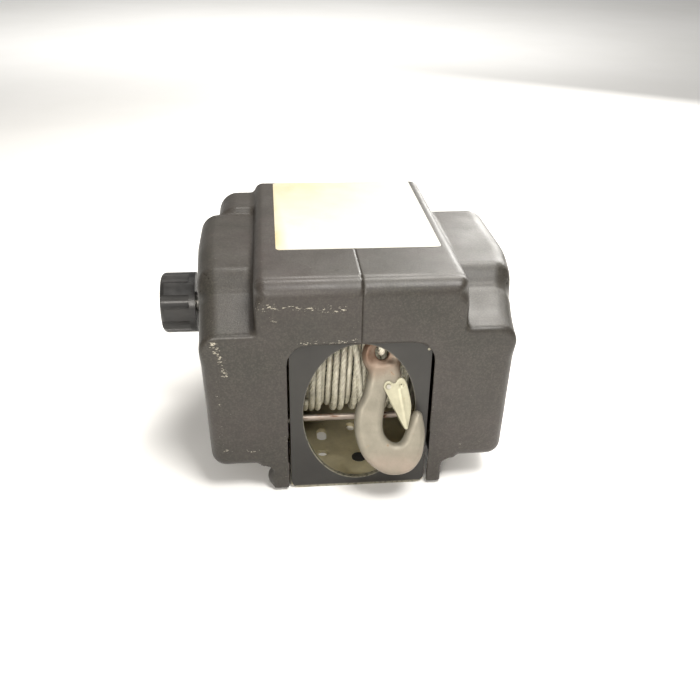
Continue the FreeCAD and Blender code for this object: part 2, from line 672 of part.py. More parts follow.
# ---------------------------------------------------------------- rope end and hook
def hook_place():
    """From the hook's own frame, eye ring at the origin and bowl below it, into the winch."""
    turn = Rotation(Vector(1, 0, 0), -size("hook_tilt")).multiply(
        Rotation(Vector(0, 1, 0), -size("hook_lean")))
    pivot = Vector(size("hook_x"), size("hook_pivot_y"), size("hook_pivot_z"))
    return Placement(pivot - turn.multVec(Vector(0, 0, size("eye_r"))), turn)


def hook():
    """Forged slip hook: tapering bowl, neck and eye ring, lying across the rope opening."""
    half = size("hook_thick") / 2
    back = ((-12, -6), (-19, -30), (-28, -45), (-31, -66), (-25, -89), (-8, -106), (12, -107),
            (27, -94), (31, -76), (32, -62))
    throat = ((21, -57), (16, -67), (10, -77), (3, -79), (-4, -73), (-6, -63), (-3, -48),
              (2, -36))
    outer = Part.BSplineCurve()
    outer.interpolate([Vector(u, 0, v) for u, v in back])
    inner = Part.BSplineCurve()
    inner.interpolate([Vector(u, 0, v) for u, v in throat])
    tip = Part.Arc(Vector(32, 0, -62), Vector(27.5, 0, -53.5), Vector(21, 0, -57)).toShape()
    shank = [Vector(2, 0, -36), Vector(15, 0, -30), Vector(12, 0, -6), Vector(-12, 0, -6)]
    edges = [outer.toShape(), tip, inner.toShape()]
    edges += [Part.makeLine(here, there) for here, there in zip(shank, shank[1:])]
    outline = Part.Face(Part.Wire(Part.__sortEdges__(edges)))
    outline.translate(Vector(0, -half, 0))
    body = outline.extrude(Vector(0, 2 * half, 0))
    rims = [edge for edge in body.Edges if edge.BoundBox.YLength < 0.01]
    body = body.makeFillet(4.0, rims)
    ring_shape = Part.makeTorus(size("eye_r"), size("eye_wire_r"), Vector(), Vector(0, 1, 0))
    hole = Part.makeCylinder(size("eye_r") - size("eye_wire_r"), 40, Vector(0, -20, 0),
                             Vector(0, 1, 0))
    across, down, over = size("latch_across"), size("latch_down"), size("pin_overhang")
    pin_hole = Part.makeCylinder(size("latch_pin_r"), 40, Vector(across, -20, -down),
                                 Vector(0, 1, 0))
    solid = body.cut(hole).fuse(ring_shape).cut(pin_hole).removeSplitter()
    keep(shaped("Hook", solid, hook_place()), "hook")
    pin = Part.makeCylinder(size("latch_pin_r"), 2 * (half + over),
                            Vector(across, -half - over, -down), Vector(0, 1, 0))
    keep(shaped("LatchPin", pin, hook_place()), "latch_pin")


def hook_latch():
    """Pressed sheet gate: two cheeks astride the hook's neck and a web towards the tip."""
    inner_half = size("hook_thick") / 2 + size("latch_gap")
    outer_half = inner_half + size("latch_t")

    def gate(points, half):
        corners = [Vector(u, -half, v) for u, v in points]
        face = Part.Face(Part.makePolygon(corners + corners[:1]))
        return face.extrude(Vector(0, 2 * half, 0))

    outside = gate(((-3, -24), (2, -21.5), (8, -24), (13, -21), (18, -24), (20.5, -36),
                    (20.5, -50), (15, -66.5), (12.5, -66.5), (-3, -31)), outer_half)
    hollow = gate(((-20, -15), (16.5, -15), (18.9, -36), (18.9, -49.8), (13.5, -65.5),
                   (10, -70), (-20, -50)), inner_half)
    pin_hole = Part.makeCylinder(size("latch_pin_r") + size("running_fit"), 40,
                                 Vector(size("latch_across"), -20, -size("latch_down")),
                                 Vector(0, 1, 0))
    keep(shaped("Latch", outside.cut(hollow).cut(pin_hole), hook_place()), "hook_latch")
    leaf = Part.makeBox(0.7, 8, 14, Vector(18, -4, -50))
    keep(shaped("LatchSpring", leaf, hook_place()), "latch_spring")


def rope_end():
    """Thimble about the hook's pivot, the rope round it, its ferrule and the straight tail."""
    x, y, z = size("hook_x"), size("hook_pivot_y"), size("hook_pivot_z")
    inner, rope = size("thimble_r"), size("rope_r")
    loop = inner + size("thimble_wall") + rope
    pivot = Vector(x, y, z)
    sideways = Vector(1, 0, 0)
    width = size("thimble_width")
    channel = Part.makeCylinder(loop - 1.8, width, Vector(x - width / 2, y, z), sideways)
    bore = Part.makeCylinder(inner, 20, Vector(x - 10, y, z), sideways)
    loop_rope = Part.makeTorus(loop, rope, pivot, sideways)
    keep(shaped("Thimble", channel.cut(bore).cut(loop_rope)), "thimble")
    over, up = size("drum_y") - y, size("drum_z") - z
    apart = math.hypot(over, up)
    lay = size("winding_r") + rope + 0.3
    angle = math.atan2(up, over) + math.asin(lay / apart)
    run = Vector(0, math.cos(angle), math.sin(angle))
    long = math.sqrt(apart ** 2 - lay ** 2)
    ferrule_from = loop + rope + size("ferrule_gap")
    ferrule_to = ferrule_from + size("ferrule_length")
    turn = Rotation(Vector(0, 0, 1), run)
    sleeve = Part.makeCylinder(2 * rope, size("ferrule_length"))
    keep(shaped("Ferrule", sleeve, Placement(pivot + run * ferrule_from, turn)), "ferrule")
    tail = Part.makeCylinder(rope, long - ferrule_to)
    tail.Placement = Placement(pivot + run * ferrule_to, turn)
    keep(shaped("RopeEnd", Part.makeCompound([loop_rope, tail])), "rope_end")


# ---------------------------------------------------------------- switchgear on the right
def switchgear():
    """Motor relay on the right cheek; sockets, breaker and its button in the right cover."""
    relay_face = "frame_half+relay_width"
    keep(block("frame_half", relay_face, "-5", "45", "75", "125"), "relay_box")
    studs = [rod("X", "stud_r", relay_face, relay_face + "+stud_length", y, z)
             for y in ("8", "32") for z in ("88", "112")]
    keep(group(*studs), "relay_terminals")
    wall_in, wall_out = "arm_right-cover_wall", "arm_right"
    breaker = block("arm_right-28", wall_in, "breaker_y-12", "breaker_y+12", "breaker_z-15",
                    "breaker_z+15")
    well = rod("X", "button_r+button_gap", "arm_right-14", "arm_right", "breaker_y", "breaker_z")
    keep(cut(breaker, well), "circuit_breaker")
    button = rod("X", "button_r", "arm_right-10", "arm_right+5", "breaker_y", "breaker_z")
    keep(soften(button, 1.5, lambda edge: edge.BoundBox.XMin > size("arm_right") + 4),
         "breaker_button")
    shell = block("arm_right-22", "arm_right+4", "power_y-inlet_half_y", "power_y+inlet_half_y",
                  "socket_z-inlet_half_z", "socket_z+inlet_half_z")
    shell = soften(shell, size("inlet_corner_r"), lambda edge: along(edge, "X"))
    half_y, half_z = "(inlet_half_y-inlet_wall)", "(inlet_half_z-inlet_wall)"
    recess = block("arm_right-16", "arm_right+5", "power_y-" + half_y, "power_y+" + half_y,
                   "socket_z-" + half_z, "socket_z+" + half_z)
    keep(cut(shell, recess), "power_socket")
    pins = [rod("X", "2.5", "arm_right-16", "arm_right", y, "socket_z")
            for y in ("power_y-pin_offset", "power_y+pin_offset")]
    barrel = join(rod("X", "remote_r", "arm_right-20", "arm_right+4", "remote_y", "socket_z"),
                  rod("X", "remote_r+3", "arm_right", "arm_right+2", "remote_y", "socket_z"))
    core = rod("X", "remote_r-remote_wall", "arm_right-14", "arm_right+5", "remote_y", "socket_z")
    keep(cut(barrel, core), "remote_socket")
    contacts = [rod("X", "1.2", "arm_right-14", "arm_right-1", "remote_y+%d" % y, "socket_z")
                for y in (-5, 0, 5)]
    keep(group(*pins, *contacts), "socket_contacts")
    lid = join(rod("X", "remote_r", "arm_right+4.4", "arm_right+7", "remote_y", "socket_z"),
               block("arm_right+4.4", "arm_right+7", "remote_y-6", "remote_y+6", "socket_z+8",
                     "socket_z+remote_r+3"),
               rod("Y", "1.8", "remote_y-6", "remote_y+6", "arm_right+6", "socket_z+remote_r+4"))
    hinge_bore = rod("Y", "0.85", "remote_y-7", "remote_y+7", "arm_right+6",
                     "socket_z+remote_r+4")
    keep(cut(lid, hinge_bore), "remote_cap")
    hinge = join(rod("Y", "0.8", "remote_y-9", "remote_y+9", "arm_right+6",
                     "socket_z+remote_r+4"),
                 *[block(wall_out, "arm_right+7.5", low, high, "socket_z+remote_r+2",
                         "socket_z+remote_r+6")
                   for low, high in (("remote_y-9", "remote_y-6.5"),
                                     ("remote_y+6.5", "remote_y+9"))])
    keep(hinge, "cap_hinge")


# ---------------------------------------------------------------- moulded cover
def arm(side, inset, width, front_width):
    """One side bulge: the stepped side view, the plan and the front view, all three in one."""
    front, floor = size("front_y"), size("arm_floor")
    top, deep = size("arm_top"), size("arm_depth") + front
    shelf = size("shelf_top")
    step = front + size("shelf_depth")
    side_view = ((front, floor, 12), (front, shelf, 0), (step, shelf + size("shelf_rise"), 28),
                 (step + 18, top - 4, 20), (step + 70, top, 60), (deep, top, 34),
                 (deep, floor, 20))
    inner = side * 70
    outer = side * width
    plan = ((inner, front, 0), (side * front_width, front, 13),
            (outer, front + size("arm_swell"), 60), (outer, deep, 30), (inner, deep, 0))
    front_view = ((inner, floor, 0), (outer, floor, 14), (outer, top, 26), (inner, top, 0))
    low, high = sorted((side * 60, side * (width + 10)))
    stepped = prism(side_view, in_yz, inset, low, high)
    return stepped.common([prism(plan, in_xy, inset, -20, 260),
                           prism(front_view, in_xz, inset, -200, 200)])


def cover_form(inset):
    """The whole cover as a solid; the inside is the same form drawn in by the wall."""
    front, deep = size("front_y"), size("front_y") + size("cover_depth")
    floor, top, skirt = size("arm_floor"), size("cover_top"), size("skirt_half")
    left, right = size("block_left"), size("block_right")
    side_view = ((front, floor, 0), (front, top, 15), (deep, top, 30), (deep, floor, 0))
    front_view = ((-left, floor, 0), (-left, top, 9), (right, top, 9), (right, floor, 0))
    middle = prism(side_view, in_yz, inset, -left - 5, right + 5).common(
        prism(front_view, in_xz, inset, -200, 200))
    foot = size("skirt_bottom") - (10 if inset else 0)
    skirt_box = Part.makeBox(2 * (skirt - inset), deep - front - 2 * inset, floor + 20 - foot,
                             Vector(inset - skirt, front + inset, foot))
    arms = [arm(-1, inset, size("arm_left"), size("arm_left_front")),
            arm(1, inset, size("arm_right"), size("arm_right_front"))]
    y_low, y_high = front + size("shoulder_front"), deep
    plan = ((-70, y_low, 0), (-size("shoulder_left"), y_low, 6),
            (-size("shoulder_left"), y_high, 22), (-70, y_high, 0))
    view = ((-70, 60, 0), (-size("shoulder_left"), 60, 12),
            (-size("shoulder_left"), size("shoulder_top"), 22), (-70, size("shoulder_top"), 0))
    shoulder = prism(plan, in_xy, inset, -20, 260).common(prism(view, in_xz, inset, -200, 200))
    return middle.fuse(arms + [skirt_box, shoulder]).removeSplitter()


def cover():
    """Two halves that meet at a seam on the centre line, each with its share of the openings."""
    shell = cover_form(0).cut(cover_form(size("cover_wall")))
    half, top = size("opening_half"), size("opening_top")
    front, wall = size("front_y"), size("cover_wall")
    corner = size("opening_corner_r")
    opening = prism(((-half, -20, 0), (-half, top, corner), (half, top, corner),
                     (half, -20, 0)), in_xz, 0, front - 5, front + wall + 1)
    left, right = -size("arm_left"), size("arm_right")

    def hole(radius, x, y, z):
        return Part.makeCylinder(radius, 20, Vector(x - 10, y, z), Vector(1, 0, 0))

    second = (size("second_y"), size("second_z"))
    first = (size("first_y"), size("first_z"))
    cuts = [opening, hole(size("sleeve_r") + 1, left, *second),
            hole(size("crank_hole_r"), left, *first),
            hole(size("flap_screw_r"), left, first[0], first[1] - size("flap_reach")),
            hole(size("button_r") + size("button_gap"), right, size("breaker_y"), size("breaker_z")),
            hole(size("remote_r"), right, size("remote_y"), size("socket_z"))]
    half_y, half_z = size("inlet_half_y"), size("inlet_half_z")
    inlet = Part.makeBox(20, 2 * half_y, 2 * half_z,
                         Vector(right - 10, size("power_y") - half_y, size("socket_z") - half_z))
    edges = [edge for edge in inlet.Edges if along(edge, "X")]
    cuts.append(inlet.makeFillet(size("inlet_corner_r"), edges))
    for side in (-1, 1):
        for y in (size("cover_bolt_y"), size("frame_back") - size("back_bolt_inset")):
            place = (side * (size("skirt_half") - 2), y, size("cover_bolt_z"))
            cuts.append(hole(size("cover_bolt_r"), *place))
    shell = shell.cut(cuts)
    for label, low, high in (("cover_left", -300, 0), ("cover_right", 0, 300)):
        half_space = Part.makeBox(high - low, 600, 400, Vector(low, -300, -100))
        keep(shaped(label, shell.common(half_space)), label)


def cover_fasteners():
    """Posts on the cheeks and the dome-headed bolts that hold the cover's skirt to them."""
    posts, bolts = [], []
    for side in ("-", ""):
        for y in ("cover_bolt_y", "frame_back-back_bolt_inset"):
            near, far = side + "frame_half", side + "(skirt_half-cover_wall)"
            ends = (far, near) if side else (near, far)
            posts.append(rod("X", "post_r", *ends, y, "cover_bolt_z"))
            face, outside = side + "skirt_half", side + "(skirt_half+dome_t)"
            inside = side + "(skirt_half-cover_wall)"
            ends = (outside, face) if side else (face, outside)
            head = rod("X", "dome_r", *ends, y, "cover_bolt_z")
            limit = size("skirt_half") + size("dome_t") - 0.1
            head = soften(head, size("dome_edge_r"), lambda edge, limit=limit: min(
                abs(edge.BoundBox.XMin), abs(edge.BoundBox.XMax)) > limit)
            ends = (face, inside) if side else (inside, face)
            bolts.append(join(head, rod("X", "cover_bolt_r", *ends, y, "cover_bolt_z")))
    keep(group(*posts), "cover_posts")
    keep(group(*bolts), "cover_bolts")


def label():
    """Blank stick-on label on top of the cover, across the seam."""
    card = block("-label_left", "label_right", "label_front", "label_back", "cover_top",
                 "cover_top+label_t")
    keep(soften(card, size("label_corner_r"), lambda edge: along(edge, "Z")), "label")


for build in (base_plate, front_plate, side_plates, tie_rods, gear_plate, drum_bushes, drum,
              rope_winding, gears, gear_shafts, motor, clutch, crank_cover, hook, hook_latch,
              rope_end, switchgear, cover, cover_fasteners, label):
    build()
doc.recompute()

failed = [thing.Name for thing in doc.Objects if {"Invalid", "Error"} & set(thing.State)]
failed += [piece.Label for piece in pieces if piece.Shape.isNull() or not piece.Shape.isValid()]
if failed:
    raise SystemExit("not built: " + ", ".join(failed))
os.makedirs("parts", exist_ok=True)
for piece in pieces:
    piece.Shape.exportStep(os.path.join("parts", piece.Label + ".step"))
print(len(pieces), "sub-parts written")
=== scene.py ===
"""Portable cable winch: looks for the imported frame.  Metres; the numbers marked mm are scaled
once, where each piece is made.  The file follows the winch as it is put together."""
import bpy
import math
import numpy as np
from mathutils import Matrix, Vector


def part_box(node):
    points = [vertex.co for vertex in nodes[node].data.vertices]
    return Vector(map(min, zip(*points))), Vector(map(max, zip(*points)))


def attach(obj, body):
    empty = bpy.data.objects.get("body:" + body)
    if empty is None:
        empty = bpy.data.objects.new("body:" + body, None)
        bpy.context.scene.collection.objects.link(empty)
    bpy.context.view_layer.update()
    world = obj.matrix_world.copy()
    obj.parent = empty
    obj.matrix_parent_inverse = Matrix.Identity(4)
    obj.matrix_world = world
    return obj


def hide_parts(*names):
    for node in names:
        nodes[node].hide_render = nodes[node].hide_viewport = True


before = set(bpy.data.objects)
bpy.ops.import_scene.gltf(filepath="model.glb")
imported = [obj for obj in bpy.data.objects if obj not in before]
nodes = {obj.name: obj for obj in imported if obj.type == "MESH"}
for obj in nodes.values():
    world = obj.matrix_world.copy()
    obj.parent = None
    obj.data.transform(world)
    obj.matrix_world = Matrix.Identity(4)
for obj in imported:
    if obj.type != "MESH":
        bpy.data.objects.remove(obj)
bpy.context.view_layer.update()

# ---------------------------------------------------------------- camera
# A hand-held view from in front and above, a little left of the middle, turned slightly right.
# The winch has no free cord, so the camera stands alone here.
station = Vector((-0.073, -0.719, 0.480))
yaw, pitch, roll = math.radians(6.1), math.radians(29.3), math.radians(1.1)
sight = Vector((math.sin(yaw) * math.cos(pitch), math.cos(yaw) * math.cos(pitch),
                -math.sin(pitch)))
level = Vector((math.cos(yaw), -math.sin(yaw), 0))
upward = level.cross(sight)
right = math.cos(roll) * level + math.sin(roll) * upward
upright = math.cos(roll) * upward - math.sin(roll) * level
eye = bpy.data.cameras.new("camera")
eye.sensor_width, eye.lens = 36, 41.14
camera = bpy.data.objects.new("camera", eye)
camera.matrix_world = Matrix.Translation(station) @ Matrix(
    (right, upright, -sight)).transposed().to_4x4()
bpy.context.scene.collection.objects.link(camera)
bpy.context.scene.camera = camera

# ---------------------------------------------------------------- floor and studio light
# A pale seamless floor under five soft boxes: two behind light the cover's top, a small one
# above draws the bright line along its front edge, one whitens the far floor, and a weak low
# one lifts the front.


def add(tree, kind, sockets=(), **settings):
    """One node of a material, with its settings, constants and incoming links."""
    made = tree.nodes.new(kind)
    for name, value in settings.items():
        setattr(made, name, value)
    for name, value in dict(sockets).items():
        if isinstance(value, bpy.types.NodeSocket):
            tree.links.new(value, made.inputs[name])
        else:
            made.inputs[name].default_value = value
    return made


def tone(red, green, blue):
    """A colour as the eye gives it, 0 to 255, in the linear light that a shader wants."""
    return tuple(((c / 255 + 0.055) / 1.055) ** 2.4 if c > 10 else c / 3295
                 for c in (red, green, blue)) + (1.0,)


def mix(tree, share, first, second):
    """First colour where the share is nought, second where it is one."""
    return add(tree, "ShaderNodeMix", {0: share, 6: first, 7: second},
               data_type="RGBA").outputs[2]


def reckon(tree, kind, first, second):
    """One step of arithmetic on two values, either of which may be a plain number."""
    return add(tree, "ShaderNodeMath", {0: first, 1: second}, operation=kind).outputs[0]


def spread(tree, value, low, high, to_low=0.0, to_high=1.0):
    """A value stretched from one range to another and held inside it."""
    return add(tree, "ShaderNodeMapRange", {"Value": value, "From Min": low, "From Max": high,
                                            "To Min": to_low, "To Max": to_high}).outputs[0]


def noise(tree, place, scale, detail=4.0, rough=0.55):
    """Cloudy variation of a given fineness, per metre."""
    return add(tree, "ShaderNodeTexNoise", {"Vector": place, "Scale": scale, "Detail": detail,
                                            "Roughness": rough}).outputs["Fac"]


def finish(name, dark, light, rough, patch=20, grain=700, depth=0.05, metal=0.0,
           stretch=(1, 1, 1), stain=None, coat_of=0.0):
    """A worked surface: cloudy colour, fine grain in mm of relief, uneven gloss and, where
    given, a stain (its colour, how much of the surface it covers, its fineness)."""
    made = bpy.data.materials.new(name)
    made.use_nodes = True
    tree = made.node_tree
    skin = tree.nodes["Principled BSDF"]
    place = add(tree, "ShaderNodeTexCoord").outputs["Object"]
    place = add(tree, "ShaderNodeMapping", {"Vector": place, "Scale": stretch}).outputs[0]
    cloud = noise(tree, place, patch, 6, 0.62)
    fine = noise(tree, place, grain, 3)
    colour = mix(tree, spread(tree, cloud, 0.32, 0.68), dark, light)
    gloss = spread(tree, noise(tree, place, patch * 3, 5), 0.3, 0.7, rough[0], rough[1])
    if stain:
        tint, amount, fineness = stain
        edge = 0.72 - 0.4 * amount
        share = spread(tree, noise(tree, place, fineness, 8, 0.7), edge, edge + 0.08)
        colour = mix(tree, share, colour, tint)
        gloss = reckon(tree, "MAXIMUM", gloss, share)
    relief = add(tree, "ShaderNodeBump", {"Height": fine, "Distance": depth * 0.001,
                                          "Strength": 1.0}).outputs[0]
    skin.inputs["Metallic"].default_value = metal
    skin.inputs["Coat Weight"].default_value = coat_of
    tree.links.new(colour, skin.inputs["Base Color"])
    tree.links.new(gloss, skin.inputs["Roughness"])
    tree.links.new(relief, skin.inputs["Normal"])
    return made


floor_half, floor_z = 6.0, -0.0005      # m: half its side, and a hair's breadth under the feet
floor_mesh = bpy.data.meshes.new("floor")
floor_mesh.from_pydata([(across * floor_half, away * floor_half, floor_z)
                        for across, away in ((-1, -1), (1, -1), (1, 1), (-1, 1))],
                       [], [(0, 1, 2, 3)])
floor = bpy.data.objects.new("floor", floor_mesh)
floor_mesh.materials.append(finish("floor_paper", tone(240, 239, 236), tone(246, 245, 243),
                                   (0.8, 0.95), patch=1.5, depth=0.01))
bpy.context.scene.collection.objects.link(floor)

for name, where, target, width, power, warmth in (
        ("rear_right", (0.92, 1.36, 0.78), (0.05, 0, 0.2), 0.9, 24, (1.0, 0.98, 0.94)),
        ("rear_high", (0.32, 0.46, 1.28), (0.05, 0, 0.2), 0.8, 22, (1.0, 0.97, 0.92)),
        ("bead_line", (0.26, -0.6, 1.22), (0.04, -0.12, 0.2), 0.4, 15, (1.0, 0.98, 0.95)),
        ("far_floor", (0, 2.7, 1.5), (0, 4.3, 0), 2.2, 40, (1.0, 0.99, 0.97)),
        ("front_low", (-0.35, -1.5, 0.75), (0, -0.1, 0.08), 0.5, 15, (1.0, 0.95, 0.88))):
    lamp = bpy.data.lights.new(name, "AREA")
    lamp.size, lamp.energy, lamp.color = width, power, warmth
    hung = bpy.data.objects.new(name, lamp)
    hung.location = where
    hung.visible_camera = False
    hung.rotation_euler = (Vector(target) - Vector(where)).to_track_quat("-Z", "Y").to_euler()
    bpy.context.scene.collection.objects.link(hung)
world = bpy.data.worlds.new("studio")
world.use_nodes = True
world.node_tree.nodes["Background"].inputs["Color"].default_value = (1.0, 0.99, 0.97, 1)
world.node_tree.nodes["Background"].inputs["Strength"].default_value = 0.36
bpy.context.scene.world = world
bpy.context.scene.view_settings.view_transform = "Standard"

# ---------------------------------------------------------------- pressed steel frame
# Base, two cheeks and the gear plate are pressed from 3 and 4 mm sheet and plated yellow, now
# dull and khaki.  The front plate is painted black, with paint worn off its oval's lip; the
# lip is also made paler towards its lower edge, a painted highlight on that upward-facing edge.


def coat(material, *names):
    """This finish on the CAD pieces of these names."""
    for name in names:
        mesh = nodes[name].data
        for number in range(len(mesh.materials)):
            mesh.materials[number] = material


plating = finish("dull_yellow_plating", tone(180, 171, 142), tone(214, 205, 172), (0.4, 0.62),
                 patch=30, grain=900, depth=0.04, metal=0.55,
                 stain=(tone(96, 74, 50), 0.22, 90))
coat(plating, "base_plate", "side_plate_left", "side_plate_right", "gear_plate",
     "gear_plate_spacers", "cover_posts")

plate_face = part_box("front_plate")[0][1]
black_paint = finish("black_paint", tone(31, 29, 26), tone(41, 39, 35), (0.34, 0.5), patch=14,
                     grain=420, depth=0.05)
tree = black_paint.node_tree
skin = tree.nodes["Principled BSDF"]
place = add(tree, "ShaderNodeTexCoord").outputs["Object"]
split = add(tree, "ShaderNodeSeparateXYZ", {0: place})
oval_half_width, oval_half_height, oval_middle = 0.0505, 0.071, 0.080      # m
chip_at = (0.0591, plate_face, 0.144)                  # m, where a flake of paint is gone
across = reckon(tree, "DIVIDE", split.outputs["X"], oval_half_width)
across = reckon(tree, "POWER", across, 2)
high = reckon(tree, "SUBTRACT", split.outputs["Z"], oval_middle)
high = reckon(tree, "POWER", reckon(tree, "DIVIDE", high, oval_half_height), 2)
# the oval's lip: worn paint, made paler towards the bottom as a painted highlight where the edge
# faces up
lip_wear_and_highlight = spread(tree, reckon(tree, "ADD", across, high), 1.035, 1.005)
lip_wear_and_highlight = reckon(tree, "MULTIPLY", lip_wear_and_highlight, spread(tree, split.outputs["Z"], 0.085, 0.03, 0.25, 1))
foot = spread(tree, split.outputs["Z"], 0.0028, 0.0012)
chip = add(tree, "ShaderNodeVectorMath", {0: place, 1: chip_at},
           operation="DISTANCE").outputs["Value"]
chip = spread(tree, chip, 0.0016, 0.0009)
bare_and_lip_highlight = reckon(tree, "MAXIMUM", reckon(tree, "MAXIMUM", lip_wear_and_highlight, foot), chip)
rubbed = spread(tree, noise(tree, place, 260, 5), 0.3, 0.5)
bare_and_lip_highlight = reckon(tree, "MULTIPLY", bare_and_lip_highlight, rubbed)
painted = skin.inputs["Base Color"].links[0].from_socket
tree.links.new(mix(tree, bare_and_lip_highlight, painted, tone(146, 142, 126)), skin.inputs["Base Color"])
tree.links.new(spread(tree, bare_and_lip_highlight, 0, 1, 0, 0.7), skin.inputs["Metallic"])
coat(black_paint, "front_plate")
bright_zinc = finish("bright_zinc", tone(150, 146, 136), tone(196, 192, 180), (0.3, 0.5),
                     patch=60, grain=1400, depth=0.02, metal=0.85,
                     stain=(tone(120, 86, 58), 0.12, 160))
coat(bright_zinc, "gear_plate_screws", "motor_screws", "tie_rod_nuts", "cap_hinge",
     "latch_pin", "clutch_rod", "ferrule", "thimble")

# ---------------------------------------------------------------- tie rods
# Plain 6 mm steel bars between the cheeks, spotted with rust; the front one shows in the oval.
rod_steel = finish("rusted_rod", tone(126, 116, 106), tone(166, 156, 146), (0.34, 0.55),
                   patch=45, grain=1200, depth=0.03, metal=0.7, stretch=(0.4, 1, 1),
                   stain=(tone(112, 76, 52), 0.4, 130))
coat(rod_steel, "tie_rods")

# ---------------------------------------------------------------- drum, gears and motor
# Turned and cut steel, bronze bushes, and a painted 12 V motor between the cheeks.
cut_steel = finish("cut_steel", tone(120, 118, 114), tone(170, 168, 162), (0.28, 0.45),
                   patch=40, grain=1500, depth=0.02, metal=0.9,
                   stain=(tone(84, 70, 46), 0.2, 110))
coat(cut_steel, "drum_core", "drum_flanges", "drum_shaft", "drum_gear", "second_shaft",
     "second_gear", "second_pinion", "first_shaft", "first_gear", "first_pinion",
     "motor_pinion", "motor_shaft", "clutch_sleeve", "latch_spring")
bronze = finish("sintered_bronze", tone(120, 92, 54), tone(158, 124, 76), (0.4, 0.6), patch=80,
                grain=1600, depth=0.02, metal=0.85)
coat(bronze, "drum_bushes", "gear_bushes", "motor_bearings")
motor_paint = finish("motor_paint", tone(28, 28, 29), tone(42, 42, 43), (0.35, 0.5), patch=26,
                     grain=520, depth=0.03)
coat(motor_paint, "motor_can", "relay_box", "circuit_breaker")
cast_metal = finish("cast_bell", tone(128, 128, 126), tone(160, 160, 158), (0.45, 0.65),
                    patch=36, grain=450, depth=0.12, metal=0.6)
coat(cast_metal, "motor_bell_drive", "motor_bell_brush")
laminations = finish("laminations", tone(92, 88, 84), tone(130, 126, 120), (0.4, 0.6),
                     patch=50, grain=1800, depth=0.03, metal=0.7, stretch=(6, 1, 1))
coat(laminations, "motor_armature", "motor_magnets")
copper = finish("copper", tone(150, 88, 58), tone(188, 116, 80), (0.3, 0.5), patch=70,
                grain=1500, depth=0.02, metal=0.95)
coat(copper, "motor_commutator", "relay_terminals", "socket_contacts")
coat(finish("carbon", tone(26, 26, 27), tone(38, 38, 38), (0.5, 0.7), patch=60, grain=1500,
            depth=0.03), "motor_brushes")

# ---------------------------------------------------------------- wire rope on the drum
# 6 mm galvanised rope of six strands round a core.  The top layer lies unevenly, with two
# gaps over the layer beneath, and its last turn climbs across the others to the hook.
mm = 0.001                                              # what scales mm to metres


def rope_along(name, path, radius, lay=30.0, strands=6, per_strand=4, closed=False):
    """Stranded rope along points in mm: each ring of points turns with the strands."""
    path = np.asarray(path, float)
    if closed:
        ahead, behind = np.roll(path, -1, 0), np.roll(path, 1, 0)
    else:
        ahead = np.vstack((path[1:], path[-1:] * 2 - path[-2:-1]))
        behind = np.vstack((path[:1] * 2 - path[1:2], path[:-1]))
    tangent = ahead - behind
    tangent /= np.linalg.norm(tangent, axis=1)[:, None]
    side = np.zeros_like(path)
    first = np.cross(tangent[0], (1.0, 0.0, 0.0))
    if np.linalg.norm(first) < 0.1:
        first = np.cross(tangent[0], (0.0, 0.0, 1.0))
    side[0] = first / np.linalg.norm(first)
    for i in range(1, len(path)):
        kept = side[i - 1] - tangent[i] * side[i - 1].dot(tangent[i])
        side[i] = kept / np.linalg.norm(kept)
    other = np.cross(tangent, side)
    run = np.concatenate(([0], np.cumsum(np.linalg.norm(np.diff(path, axis=0), axis=1))))
    sides = strands * per_strand
    around = np.arange(sides) * 2 * math.pi / sides
    lobe = 0.68 + 0.32 * np.abs(np.cos(around * strands / 2))
    angle = around[None, :] + 2 * math.pi * run[:, None] / lay
    points = (path[:, None, :] + radius * lobe[None, :, None]
              * (np.cos(angle)[..., None] * side[:, None, :]
                 + np.sin(angle)[..., None] * other[:, None, :]))
    count = len(path)
    faces = []
    for i in range(count if closed else count - 1):
        for j in range(sides):
            here, there = i * sides, ((i + 1) % count) * sides
            k = (j + 1) % sides
            faces.append((here + j, here + k, there + k, there + j))
    if not closed:
        faces.append(tuple(range(sides - 1, -1, -1)))
        faces.append(tuple((count - 1) * sides + j for j in range(sides)))
    return show(name, points.reshape(-1, 3), faces)


def show(name, points, faces, turn=None):
    """A smooth piece from points in mm, put in place and linked to the scene."""
    mesh = bpy.data.meshes.new(name)
    mesh.from_pydata((np.asarray(points) * mm).tolist(), [], [tuple(f) for f in faces])
    if turn is not None:
        mesh.transform(turn)
    mesh.shade_smooth()
    mesh.update()
    piece = bpy.data.objects.new(name, mesh)
    bpy.context.scene.collection.objects.link(piece)
    return piece


drum_y, drum_z = (sum(v[i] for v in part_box("drum_shaft")) / 2 / mm for i in (1, 2))
rope_r = 3.0
under_r, top_r = 45.4, 51.0      # mm, from the drum's axis to the middle of each layer's rope
lean = 4.5                       # mm that a turn runs on behind the drum before it comes back
drum_end = 49.2                  # mm, the furthest that the rope's middle can lie, by the flange
top_layer = [-46, -39.8, -33.6, -18.3, -11.4, 1.0, 7.4, 13.7, 20, 26.2, 32.4, 38.6, 44.8, 49]
under_layer = [-49, -43, -36.8, -30.4, -24.2, -18, -11.6, -5.2, 1.2, 7.6, 14, 20.4, 26.8,
               33, 39.4, 45.4]


def turns_of(places, radius, step):
    """Path of turns at these places across the drum: each goes straight round the front and
    steps across to the next one behind, with a point every few degrees."""
    path = []
    for here, there in zip(places, places[1:]):
        for degree in np.arange(0, 360, step):
            share = min(max((degree - 95) / 150, 0), 1)
            back = min(max((degree - 262) / 90, 0), 1)
            across = here + (there + lean - here) * share * share * (3 - 2 * share)
            across -= lean * back * back * (3 - 2 * back)
            across = min(across, drum_end)
            angle = math.radians(degree + 205)
            wobble = 0.25 * math.sin(3 * angle + here)
            path.append((across, drum_y + (radius + wobble) * math.cos(angle),
                         drum_z + (radius + wobble) * math.sin(angle)))
    return path


